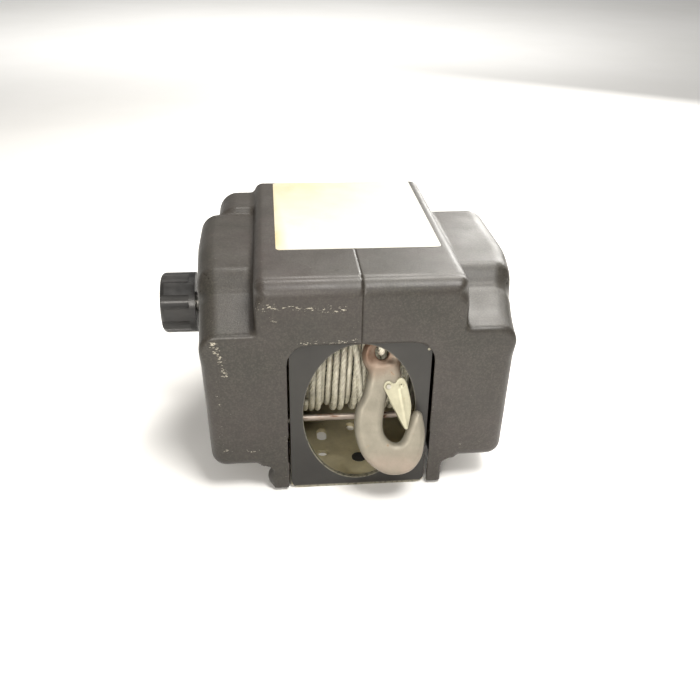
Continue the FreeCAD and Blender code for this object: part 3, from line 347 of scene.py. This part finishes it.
rope_wire = bpy.data.materials.new("galvanised_wire")
rope_wire.use_nodes = True
tree = rope_wire.node_tree
skin = tree.nodes["Principled BSDF"]
place = add(tree, "ShaderNodeTexCoord").outputs["Object"]
zinc = mix(tree, spread(tree, noise(tree, place, 160, 5), 0.3, 0.7), tone(196, 192, 174),
           tone(240, 236, 218))
height = add(tree, "ShaderNodeSeparateXYZ", {0: place}).outputs["Z"]
high_up = spread(tree, height, 0.098, 0.128)
rusty = spread(tree, noise(tree, place, 120, 8, 0.7), 0.5, 0.66)
rusty = spread(tree, reckon(tree, "MULTIPLY", rusty, high_up), 0, 1, 0.0, 0.75)
zinc = mix(tree, rusty, zinc, tone(140, 98, 76))
soot = spread(tree, noise(tree, place, 60, 4), 0.55, 0.72, 0.0, 0.4)
zinc = mix(tree, soot, zinc, tone(134, 128, 114))
wires = add(tree, "ShaderNodeTexWave", {"Vector": place, "Scale": 420, "Distortion": 2.0,
                                        "Detail": 2}, bands_direction="DIAGONAL").outputs["Fac"]
relief = add(tree, "ShaderNodeBump", {"Height": wires, "Distance": 0.00012, "Strength": 0.6})
skin.inputs["Metallic"].default_value = 0.15
tree.links.new(zinc, skin.inputs["Base Color"])
tree.links.new(spread(tree, rusty, 0, 0.75, 0.36, 0.8), skin.inputs["Roughness"])
tree.links.new(relief.outputs[0], skin.inputs["Normal"])

hook_x, pivot_y, pivot_z = 19.2, -107.5, 143.6      # mm, the thimble's axis
off_y, off_z = drum_y - pivot_y, drum_z - pivot_z
apart = math.hypot(off_y, off_z)
over_r = top_r + rope_r + rope_r + 0.3              # mm, the last turn lies on the top layer
lead = math.atan2(off_z, off_y) + math.asin(over_r / apart)
straight = math.sqrt(apart ** 2 - over_r ** 2)      # mm, from the thimble to the drum
leaving = math.degrees(lead) + 90
crossing_run, crossing_width = 370, 24              # degrees round the drum, mm along it
dip_from, dip_over = 300, 60                        # degrees, where it sinks to the top layer
crossing = []
for degree in np.arange(0, crossing_run + 2, 2.5):
    share = degree / crossing_run
    angle = math.radians(leaving - degree)
    dip = min(max((degree - dip_from) / dip_over, 0), 1)
    radius = over_r - (over_r - top_r) * dip
    crossing.append((hook_x - crossing_width * share ** 1.5, drum_y + radius * math.cos(angle),
                     drum_z + radius * math.sin(angle)))
under = rope_along("rope_under_layer", turns_of(under_layer, under_r, 5), rope_r, per_strand=3)
turns = rope_along("rope_top_layer", turns_of(top_layer, top_r, 2.5), rope_r)
over = rope_along("rope_last_turn", crossing, rope_r)
for piece in (under, turns, over):
    piece.data.materials.append(rope_wire)
    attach(piece, "drum")
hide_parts("rope_winding")

# ---------------------------------------------------------------- rope end
# The last of the rope runs straight from the drum to a pressed ferrule and round a steel
# thimble, which the hook's eye hangs on.
thimble_r, thimble_wall, ferrule_run = 6.3, 1.2, 22      # mm: its bore, its sheet, its length
loop_r = thimble_r + thimble_wall + rope_r
loop = [(hook_x, pivot_y + loop_r * math.cos(a), pivot_z + loop_r * math.sin(a))
        for a in np.arange(0, 2 * math.pi, math.radians(6))]
eye_loop = rope_along("rope_eye", loop, rope_r, lay=2 * math.pi * loop_r / 2, closed=True)
along = (math.cos(lead), math.sin(lead))
ferrule_end = loop_r + rope_r + 0.2 + ferrule_run
tail = [(hook_x, pivot_y + along[0] * s, pivot_z + along[1] * s)
        for s in np.arange(ferrule_end, straight, 2.0)]
tail_rope = rope_along("rope_tail", tail, rope_r)
for piece in (eye_loop, tail_rope):
    piece.data.materials.append(rope_wire)
    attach(piece, "frame")
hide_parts("rope_end")

# ---------------------------------------------------------------- forged hook
# A slip hook forged in one piece: round eye, short neck and a bowl that is thickest at the
# bottom.
# Its skin is grey scale over zinc, and the flash line runs round its middle.  Its eye and neck
# are
# darkened brown: partly rust, partly painted shade where they hang back behind the plate.


def corner(first, second, radius):
    """Where both fields are inside, with the corner between them rounded."""
    u, v = first + radius, second + radius
    return (np.sqrt(np.maximum(u, 0) ** 2 + np.maximum(v, 0) ** 2) - radius
            + np.minimum(np.maximum(u, v), 0))


def merge(first, second, blend):
    """Either of two fields, melted together over a small distance."""
    share = np.clip(0.5 + 0.5 * (second - first) / blend, 0, 1)
    return second * (1 - share) + first * share - blend * share * (1 - share)


def moulded(name, field, low, high, step, turn=None):
    """Smooth mesh where a field of distances in mm crosses nought (inside is negative)."""
    axes = [np.arange(a, b + step, step, dtype=np.float32) for a, b in zip(low, high)]
    x, y, z = np.meshgrid(*axes, indexing="ij", sparse=True)
    value = np.broadcast_to(field(x, y, z), [len(a) for a in axes]).astype(np.float32)
    inside = value < 0
    cells = [n - 1 for n in value.shape]
    total = np.zeros(cells + [3], np.float32)
    count = np.zeros(cells, np.int32)
    crossings = []
    for axis in range(3):
        near = [slice(None)] * 3
        far = [slice(None)] * 3
        near[axis], far[axis] = slice(0, -1), slice(1, None)
        a, b = value[tuple(near)], value[tuple(far)]
        found = np.argwhere(inside[tuple(near)] != inside[tuple(far)])
        i, j, k = found.T
        va, vb = a[i, j, k], b[i, j, k]
        point = found.astype(np.float32)
        point[:, axis] += va / (va - vb)
        one, two = [n for n in range(3) if n != axis]
        for p in (0, 1):
            for q in (0, 1):
                cell = found.copy()
                cell[:, one] -= p
                cell[:, two] -= q
                good = np.all((cell >= 0) & (cell < cells), axis=1)
                c = tuple(cell[good].T)
                np.add.at(total, c, point[good])
                np.add.at(count, c, 1)
        crossings.append((axis, found, va < 0, one, two))
    used = count > 0
    index = np.full(cells, -1, np.int64)
    index[used] = np.arange(used.sum())
    points = total[used] / count[used][:, None] * step + np.array(low, np.float32)
    faces = []
    for axis, found, outward, one, two in crossings:
        good = (found[:, one] > 0) & (found[:, two] > 0)
        good &= (found[:, one] < cells[one]) & (found[:, two] < cells[two])
        found, outward = found[good], outward[good]
        ring = []
        for p, q in ((1, 1), (0, 1), (0, 0), (1, 0)):
            cell = found.copy()
            cell[:, one] -= p
            cell[:, two] -= q
            ring.append(index[tuple(cell.T)])
        ring = np.stack(ring, 1)
        if axis == 1:
            outward = ~outward
        ring[~outward] = ring[~outward][:, ::-1]
        faces.append(ring)
    return show(name, points, np.vstack(faces).tolist(), turn)


def outline_distance(corners, u, v):
    """Distance to a closed outline of straight runs, negative inside it."""
    corners = np.asarray(corners, np.float32)
    best = np.full(np.broadcast(u, v).shape, 1e9, np.float32)
    inside = np.zeros(best.shape, bool)
    for (u0, v0), (u1, v1) in zip(corners, np.roll(corners, -1, 0)):
        du, dv = u1 - u0, v1 - v0
        t = np.clip(((u - u0) * du + (v - v0) * dv) / (du * du + dv * dv + 1e-9), 0, 1)
        best = np.minimum(best, (u - u0 - t * du) ** 2 + (v - v0 - t * dv) ** 2)
        if dv != 0:
            inside ^= ((v0 > v) != (v1 > v)) & (u < du * (v - v0) / dv + u0)
    best = np.sqrt(best)
    return np.where(inside, -best, best)


def smooth_line(knots, steps=10):
    """Rounded run of points through the knots (Catmull-Rom), the last one left out."""
    run = []
    knots = [2 * np.array(knots[0]) - knots[1]] + [np.array(k, float) for k in knots]
    knots.append(2 * knots[-1] - knots[-2])
    for a, b, c, d in zip(knots, knots[1:], knots[2:], knots[3:]):
        for t in np.arange(steps) / steps:
            run.append(0.5 * (2 * b + (c - a) * t + (2 * a - 5 * b + 4 * c - d) * t * t
                              + (3 * b - a - 3 * c + d) * t ** 3))
    return run


back_line = smooth_line([(-12, -6), (-19, -30), (-28, -45), (-31, -66), (-25, -89),
                         (-8, -105.5), (12, -107), (25, -96), (30.5, -78), (31.2, -68),
                         (30.6, -61), (29.5, -55), (25, -52.6), (20.6, -56.5)])
throat_line = smooth_line([(20.6, -56.5), (16.4, -65), (10, -77), (3, -79), (-4, -73),
                           (-6, -63), (-3, -48), (1.5, -36), (12, -30), (15, -22), (14, -4)])
hook_outline = [tuple(p) for p in back_line + throat_line] + [(14, -4)]
hook_half = 6.5                                 # mm, half its thickness
eye_r, eye_wire, web_half = 13.5, 4.5, 3.6      # mm: the eye's middle, its bar, its thin web
hole_r, hole_up, hole_slack = 6.0, 3.2, 0.6     # mm: the hole, worn a little longer than wide


def hook_field(u, w, v):
    """Hook hanging from its eye's middle: u across, w through its thickness, v up."""
    flat = outline_distance(hook_outline, u, v)
    flash = 0.3 * np.exp(-(w / 0.9) ** 2)
    body = corner(flat, np.abs(w) - hook_half, 6.0) - flash
    eye_ring = np.sqrt((np.sqrt(u * u + v * v) - eye_r) ** 2 + w * w) - eye_wire
    whole = merge(body, eye_ring, 3.0)
    web = np.maximum(np.sqrt(u * u + v * v) - eye_r, np.abs(w) - web_half)
    whole = merge(whole, web, 3.0)
    hole = np.hypot(u, np.maximum(np.abs(v - hole_up) - hole_slack, 0)) - hole_r
    return corner(whole, -hole, 1.5)


lean_out, lean_across = math.radians(-24), math.radians(-4.6)
tilt = Matrix.Rotation(lean_out, 4, "X") @ Matrix.Rotation(lean_across, 4, "Y")
eye_at = Vector((hook_x, pivot_y, pivot_z)) - tilt.to_3x3() @ Vector((0, 0, eye_r))
hook_turn = Matrix.Translation(eye_at * mm) @ tilt
forged = moulded("forged_hook", hook_field, (-35, -8, -112), (36, 8, 20), 0.8, hook_turn)
scale_grey = finish("forged_scale", tone(124, 119, 106), tone(148, 142, 128), (0.42, 0.62),
                    patch=42, grain=620, depth=0.16, metal=0.45,
                    stain=(tone(150, 128, 104), 0.22, 120))
tree = scale_grey.node_tree
skin = tree.nodes["Principled BSDF"]
place = add(tree, "ShaderNodeTexCoord").outputs["Object"]
up = add(tree, "ShaderNodeSeparateXYZ", {0: place}).outputs["Z"]
plain = skin.inputs["Base Color"].links[0].from_socket
patchy = spread(tree, noise(tree, place, 70, 5), 0.3, 0.6, 0.35, 1)
eye_dark_from, eye_dark_full, rub_from, rub_full = 0.112, 0.134, 0.060, 0.046      # m off the floor
# eye and neck darker and browner: rust, plus painted shade where they sit back in the cover's
# shadow
eye_rust_and_shade = reckon(tree, "MULTIPLY", spread(tree, up, eye_dark_from, eye_dark_full), patchy)
plain = mix(tree, eye_rust_and_shade, plain, tone(112, 84, 66))
low_rub = reckon(tree, "MULTIPLY", spread(tree, up, rub_from, rub_full, 0, 0.6), patchy)
tree.links.new(mix(tree, low_rub, plain, tone(152, 136, 124)), skin.inputs["Base Color"])
forged.data.materials.append(scale_grey)
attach(forged, "hook")
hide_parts("hook")

# ---------------------------------------------------------------- safety gate
# Pressed from 1.3 mm zinc-plated sheet: two heart-topped cheeks astride the neck, each with
# two dimples, narrowing to a tongue that closes on the hook's tip.
gate_outer, gate_inner = hook_half + 1.9, hook_half + 0.6      # mm, from the middle
dimple_r, dimple_up, dimple_out = 3.4, -26.6, 10.6              # mm: the ball that sinks them
gate_outline = smooth_line([(-2.8, -27), (-0.6, -22.6), (3.6, -22.2), (7.4, -24.6),
                            (10.4, -21.6), (14.4, -20.6), (17.8, -24), (19.6, -34),
                            (20.4, -46), (18.2, -57), (15.2, -65.4), (13.4, -66.6),
                            (11.8, -64.6), (6, -50), (0.6, -36), (-2.8, -27)], 6)


def gate_field(u, w, v):
    """Gate in the hook's own directions: a folded sheet, open below and towards the throat."""
    sheet = outline_distance(gate_outline, u, v)
    solid = corner(sheet, np.abs(w) - gate_outer, 1.0)
    room = np.maximum(np.abs(w) - gate_inner, sheet + 1.5)
    open_side = np.maximum(np.abs(w) - gate_inner, u - 8 - 0.1 * (v + 40))
    room = np.minimum(room, np.maximum(open_side, -(v + 60)))
    gate = corner(solid, -room, 0.3)
    fold = np.abs((u - 13.0) + 0.08 * (v + 44))
    gate -= 0.45 * np.exp(-(fold / 1.1) ** 2) * (v < -30)
    for across in (1.8, 13.6):
        dimple = np.sqrt((u - across) ** 2 + (v - dimple_up) ** 2
                         + (np.abs(w) - dimple_out) ** 2) - dimple_r
        gate = np.maximum(gate, -dimple)
    return gate


gate = moulded("safety_gate", gate_field, (-5, -10, -69), (23, 10, -18), 0.55, hook_turn)
gate_zinc = finish("gate_zinc", tone(156, 152, 130), tone(178, 174, 150), (0.34, 0.5),
                   patch=70, grain=1100, depth=0.03, metal=0.3,
                   stain=(tone(168, 158, 126), 0.2, 200))
gate.data.materials.append(gate_zinc)
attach(gate, "latch")
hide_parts("hook_latch")

# ---------------------------------------------------------------- clutch knob and crank flap
# Black phenolic knob with seven scallops on a plain sleeve; the flap over the crank's hole is
# the same plastic as the cover and swings on one screw, blackened like the cover's bolts.
knob_plastic = finish("knob_plastic", tone(20, 19, 18), tone(36, 34, 32), (0.3, 0.48),
                      patch=40, grain=900, depth=0.03, coat_of=0.1)
coat(knob_plastic, "clutch_knob")
black_steel = finish("blackened_steel", tone(46, 44, 42), tone(70, 68, 64), (0.35, 0.5),
                     patch=80, grain=1400, depth=0.02, metal=0.8)
coat(black_steel, "crank_cover_screw", "cover_bolts")

# ---------------------------------------------------------------- moulded cover
# Two halves of 3 mm black plastic that meet on the centre line, fine-grained and faded to a
# warm charcoal: a tall block, a stepped bulge each side, and a skirt down to the base.
front, back, cover_top, wall = -130.0, 145.0, 210.0, 3.0         # mm, as all that follow
block_middle, block_half, block_edge = 0.5, 90.5, 9
skirt_half, skirt_top, skirt_foot = 78, 60, 2                    # it ends just off the base
shelf_top, shelf_depth, shelf_rise = 164, 54, 16                 # the bulges' low front step
riser_rise, climb_rise = 14, 4                                   # what comes behind it
arm_foot, arm_back, left_reach, right_reach = 28.0, 95.0, 144.9, 149.9
shoulder_side, shoulder_top, shoulder_front = -128, 203, 75      # raised back left corner
dome_x, dome_y, dome_z, dome_r = -75, -121, 11, 8.6              # skirt's front left foot


def eased(value, start, end):
    """Nought before the start, one after the end, and a smooth climb between."""
    share = np.clip((value - start) / (end - start), 0, 1)
    return share * share * (3 - 2 * share)


def arm_field(side, x, y, z):
    """Side bulge: a low shelf in front, a riser, then a top that climbs gently to the back.
    It swells towards the back and towards its top, the left one less steeply."""
    top = shelf_top + shelf_rise * np.clip((y - front) / shelf_depth, 0, 1)
    top = (top + riser_rise * eased(y, front + 50, front + 76)
           + climb_rise * eased(y, front + 70, front + 124))
    if side < 0:
        reach = 135 + 0.035 * (np.minimum(z, 175) - 80) + 0.048 * np.clip(y + 112, 0, 125)
        reach = np.minimum(reach, left_reach)
    else:
        reach = 134.5 + 0.02 * (np.minimum(z, 175) - 80) + 13.6 * eased(y, -125, -15)
        reach = np.minimum(reach, right_reach)
    outer = side * x - reach
    steep = 0.32 * eased(y, front + 44, front + 57) * (1 - eased(y, front + 58, front + 72))
    over = (z - top) * (1 - steep)
    shape = np.maximum(corner(outer, over, 17), corner(outer, arm_foot - z, 13))
    round_front = 10 - 6 * eased(z, 128, 152)
    shape = corner(shape, front - y, round_front)
    shape = corner(shape, y - arm_back, 30)
    return np.maximum(shape, 60 - side * x)


def cover_shape(x, y, z, lowest):
    """The whole cover as if solid: block, both bulges, skirt, a small foot at its front left
    corner and the raised left shoulder.  A fine groove runs behind the block's front edge."""
    bead = 0.9 * np.exp(-((y + 117.0) / 1.5) ** 2)
    block = corner(np.abs(x - block_middle) - block_half, z - (cover_top - bead), block_edge)
    block = corner(block, front - y, 5 + 9.5 * eased(z, 186, 200))
    block = corner(block, y - back, 11)
    block = np.maximum(block, arm_foot - z)
    skirt = corner(np.abs(x) - skirt_half, front - y, 3)
    skirt = np.maximum(corner(skirt, y - back, 8), np.maximum(lowest - z, z - skirt_top))
    shoulder = corner(shoulder_side - x, z - shoulder_top, 20)
    shoulder = corner(shoulder, y - back, 22)
    shoulder = np.maximum(corner(shoulder, shoulder_front - y, 6), np.maximum(60 - z, x + 70))
    whole = merge(block, arm_field(-1, x, y, z), 4.5)
    whole = merge(whole, arm_field(1, x, y, z), 4.5)
    whole = merge(whole, skirt, 9)
    dome = np.sqrt((x - dome_x) ** 2 + (y - dome_y) ** 2 + (0.8 * (z - dome_z)) ** 2) - dome_r
    whole = merge(whole, dome, 4)
    return merge(whole, shoulder, 5)


def side_hole(x, y, z, side, at_y, at_z, radius):
    """A round hole through one side wall, and nothing nearer the middle than the cheeks."""
    return np.maximum(np.sqrt((y - at_y) ** 2 + (z - at_z) ** 2) - radius, cheek - side * x)


def middle_of(node):
    """Where a node's middle lies, front to back and up, in mm."""
    low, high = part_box(node)
    return tuple((low[i] + high[i]) / 2 / mm for i in (1, 2))


cheek, on_left, on_right = 70, -1, 1
mouth_half, mouth_top, mouth_depth, mouth_corner = 64, 152, 12, 18
sleeve_middle, crank_middle = middle_of("clutch_sleeve"), middle_of("first_shaft")
button_middle, remote_middle = (30, 135), (42, 70)
inlet_half_run, inlet_half_rise, inlet_up = 17, 11, 70


def cover_field(x, y, z):
    """The cover's wall, open below, with the mouth before the drum and the holes for the
    clutch, the crank, the breaker's button and both sockets."""
    outer = cover_shape(x, y, z, skirt_foot)
    inner = cover_shape(x, y, z, -20) + wall
    shell = np.maximum(outer, -inner)
    shell = np.maximum(shell, skirt_foot - z)
    mouth = corner(np.abs(x) - mouth_half, z - mouth_top, mouth_corner)
    mouth = np.maximum(mouth, y - (front + mouth_depth))
    inlet = corner(np.abs(y) - inlet_half_run, np.abs(z - inlet_up) - inlet_half_rise, 3)
    for hole in (mouth, side_hole(x, y, z, on_left, *sleeve_middle, 11),
                 side_hole(x, y, z, on_left, *crank_middle, 13),
                 side_hole(x, y, z, on_right, *button_middle, 6.4),
                 side_hole(x, y, z, on_right, *remote_middle, 13),
                 np.maximum(inlet, cheek - x)):
        shell = corner(shell, -hole, 0.8)
    return shell


def left_half(x, y, z):
    """The cover up to the seam from the left."""
    return np.maximum(cover_field(x, y, z), x)


def right_half(x, y, z):
    """The cover from the seam to the right."""
    return np.maximum(cover_field(x, y, z), -x)


moulded_plastic = bpy.data.materials.new("faded_black_plastic")
moulded_plastic.use_nodes = True
tree = moulded_plastic.node_tree
skin = tree.nodes["Principled BSDF"]
place = add(tree, "ShaderNodeTexCoord").outputs["Object"]
cloud = spread(tree, noise(tree, place, 9, 6, 0.62), 0.34, 0.68)
colour = mix(tree, cloud, tone(36, 35, 28), tone(51, 44, 41))
speck = spread(tree, noise(tree, place, 620, 2), 0.42, 0.72, 0.0, 0.6)
colour = mix(tree, speck, colour, tone(68, 64, 56))
smear = spread(tree, noise(tree, place, 28, 8, 0.75), 0.48, 0.8, 0.0, 0.75)
colour = mix(tree, smear, colour, tone(38, 34, 30))
worn = add(tree, "ShaderNodeAttribute", attribute_name="wear").outputs["Fac"]
slanted = add(tree, "ShaderNodeMapping", {"Vector": place, "Rotation": (0.3, 0.5, 0.2),
                                          "Scale": (1, 1.6, 2.4)}).outputs[0]
flecks = noise(tree, slanted, 240, 7, 0.74)
limit = spread(tree, worn, 0, 1, 0.78, 0.47)
scuffed = spread(tree, reckon(tree, "SUBTRACT", flecks, limit), 0.0, 0.035)
colour = mix(tree, scuffed, colour, tone(176, 170, 154))
gloss = spread(tree, noise(tree, place, 40, 5), 0.3, 0.7, 0.36, 0.5)
gloss = reckon(tree, "MAXIMUM", gloss, spread(tree, scuffed, 0, 1, 0, 0.75))
grain = reckon(tree, "ADD", noise(tree, place, 720, 2), scuffed)
relief = add(tree, "ShaderNodeBump", {"Height": grain, "Distance": 0.00016, "Strength": 0.8})
tree.links.new(colour, skin.inputs["Base Color"])
tree.links.new(gloss, skin.inputs["Roughness"])
tree.links.new(relief.outputs[0], skin.inputs["Normal"])

# scuffed places on the front and edges: ends of each line in mm, its width, its strength
scuffs = [
    ((-86, -130, 190), (-14, -130, 186), 6, 0.75),
    ((-14, -130, 186), (60, -130, 188), 4, 0.35),
    ((-125, -130, 157), (-116, -130, 127), 6, 0.8),
    ((-124, -128, 127), (-123, -128, 52), 4, 0.7),
    ((-123, -130, 48), (-88, -130, 46), 4, 0.6),
    ((-56, -130, 155), (-4, -130, 156), 3.5, 0.75),
    ((-66, -130, 60), (-66, -130, 8), 4, 0.55),
    ((66, -130, 110), (66, -130, 70), 3, 0.55),
    ((80, -130, 184), (84, -130, 172), 4, 0.5),
    ((-78, -130, 186), (-74, -130, 176), 4, 0.7),
    ((88, -130, 46), (128, -130, 42), 4, 0.45),
    ((-128, -110, 165), (-118, -90, 168), 8, 0.4),
    ((-40, -126, 208), (40, -126, 208), 5, 0.25),
    ((78, -100, 8), (78, 140, 8), 5, 0.4),
    ((-78, -100, 8), (-78, 140, 8), 5, 0.4),
    ((-128, 60, 196), (-128, 0, 192), 7, 0.4),
    ((126, 60, 194), (126, -40, 188), 7, 0.4),
    ((-80, 140, 200), (80, 140, 200), 8, 0.35),
]
mould_step = 1.7                    # mm, the fineness of the cover's mesh
for name, body_half, low_x, high_x, node in (
        ("cover_skin_left", left_half, -149, 4, "cover_left"),
        ("cover_skin_right", right_half, -4, 154, "cover_right")):
    half_cover = moulded(name, body_half, (low_x, front - 4, -1),
                         (high_x, back + 4, cover_top + 4), mould_step)
    count = len(half_cover.data.vertices)
    spots = np.zeros(count * 3, np.float32)
    half_cover.data.vertices.foreach_get("co", spots)
    spots = spots.reshape(-1, 3) / mm
    spots[np.abs(spots[:, 0]) < mould_step / 2 + 0.05, 0] = 0
    spots[:, 1] = np.clip(spots[:, 1], front, back)
    half_cover.data.vertices.foreach_set("co", (spots * mm).astype(np.float32).ravel())
    wear = np.full(count, 0.3, np.float32)
    for start, end, width, strength in scuffs:
        start, end = np.array(start, float), np.array(end, float)
        line = end - start
        share = np.clip(((spots - start) @ line) / (line @ line), 0, 1)
        away = np.linalg.norm(spots - start - share[:, None] * line, axis=1)
        wear = np.maximum(wear, strength * np.exp(-(away / width) ** 2))
    layer = half_cover.data.attributes.new("wear", "FLOAT", "POINT")
    layer.data.foreach_set("value", wear)
    half_cover.data.materials.append(moulded_plastic)
    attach(half_cover, "frame")
    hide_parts(node)
coat(moulded_plastic, "crank_cover")

# ---------------------------------------------------------------- label
# Blank card on top of the cover across the seam, yellowed towards its back left corner.
card = bpy.data.materials.new("label_card")
card.use_nodes = True
tree = card.node_tree
skin = tree.nodes["Principled BSDF"]
place = add(tree, "ShaderNodeTexCoord").outputs["Object"]
split = add(tree, "ShaderNodeSeparateXYZ", {0: place})
to_back = spread(tree, split.outputs["Y"], -0.01, 0.12)
to_left = spread(tree, split.outputs["X"], 0.09, -0.08)
left_edge = spread(tree, split.outputs["X"], -0.058, -0.07)
aged = reckon(tree, "MAXIMUM", reckon(tree, "MULTIPLY", to_back, to_left), left_edge)
blotch = spread(tree, noise(tree, place, 26, 5), 0.35, 0.7, 0.55, 1.0)
aged = reckon(tree, "MULTIPLY", aged, blotch)
tree.links.new(mix(tree, aged, tone(176, 174, 166), tone(172, 158, 116)),
               skin.inputs["Base Color"])
fibre = add(tree, "ShaderNodeBump", {"Height": noise(tree, place, 500, 4),
                                     "Distance": 0.00003, "Strength": 0.6})
tree.links.new(fibre.outputs[0], skin.inputs["Normal"])
tree.links.new(spread(tree, noise(tree, place, 60), 0.3, 0.7, 0.42, 0.6),
               skin.inputs["Roughness"])
coat(card, "label")

# ---------------------------------------------------------------- sockets on the right wall
# Power inlet and round control socket in hard black plastic, a red breaker button, a rubber
# drain plug, and a sprung plastic cap over the control socket.
socket_plastic = finish("socket_plastic", tone(24, 24, 25), tone(38, 38, 38), (0.3, 0.45),
                        patch=50, grain=900, depth=0.03)
coat(socket_plastic, "power_socket", "remote_socket", "remote_cap")
coat(finish("drain_rubber", tone(26, 25, 24), tone(40, 38, 36), (0.55, 0.75), patch=50,
            grain=800, depth=0.05), "drain_plug")
coat(finish("red_button", tone(150, 22, 18), tone(182, 34, 26), (0.3, 0.45), patch=60,
            grain=900, depth=0.02), "breaker_button")
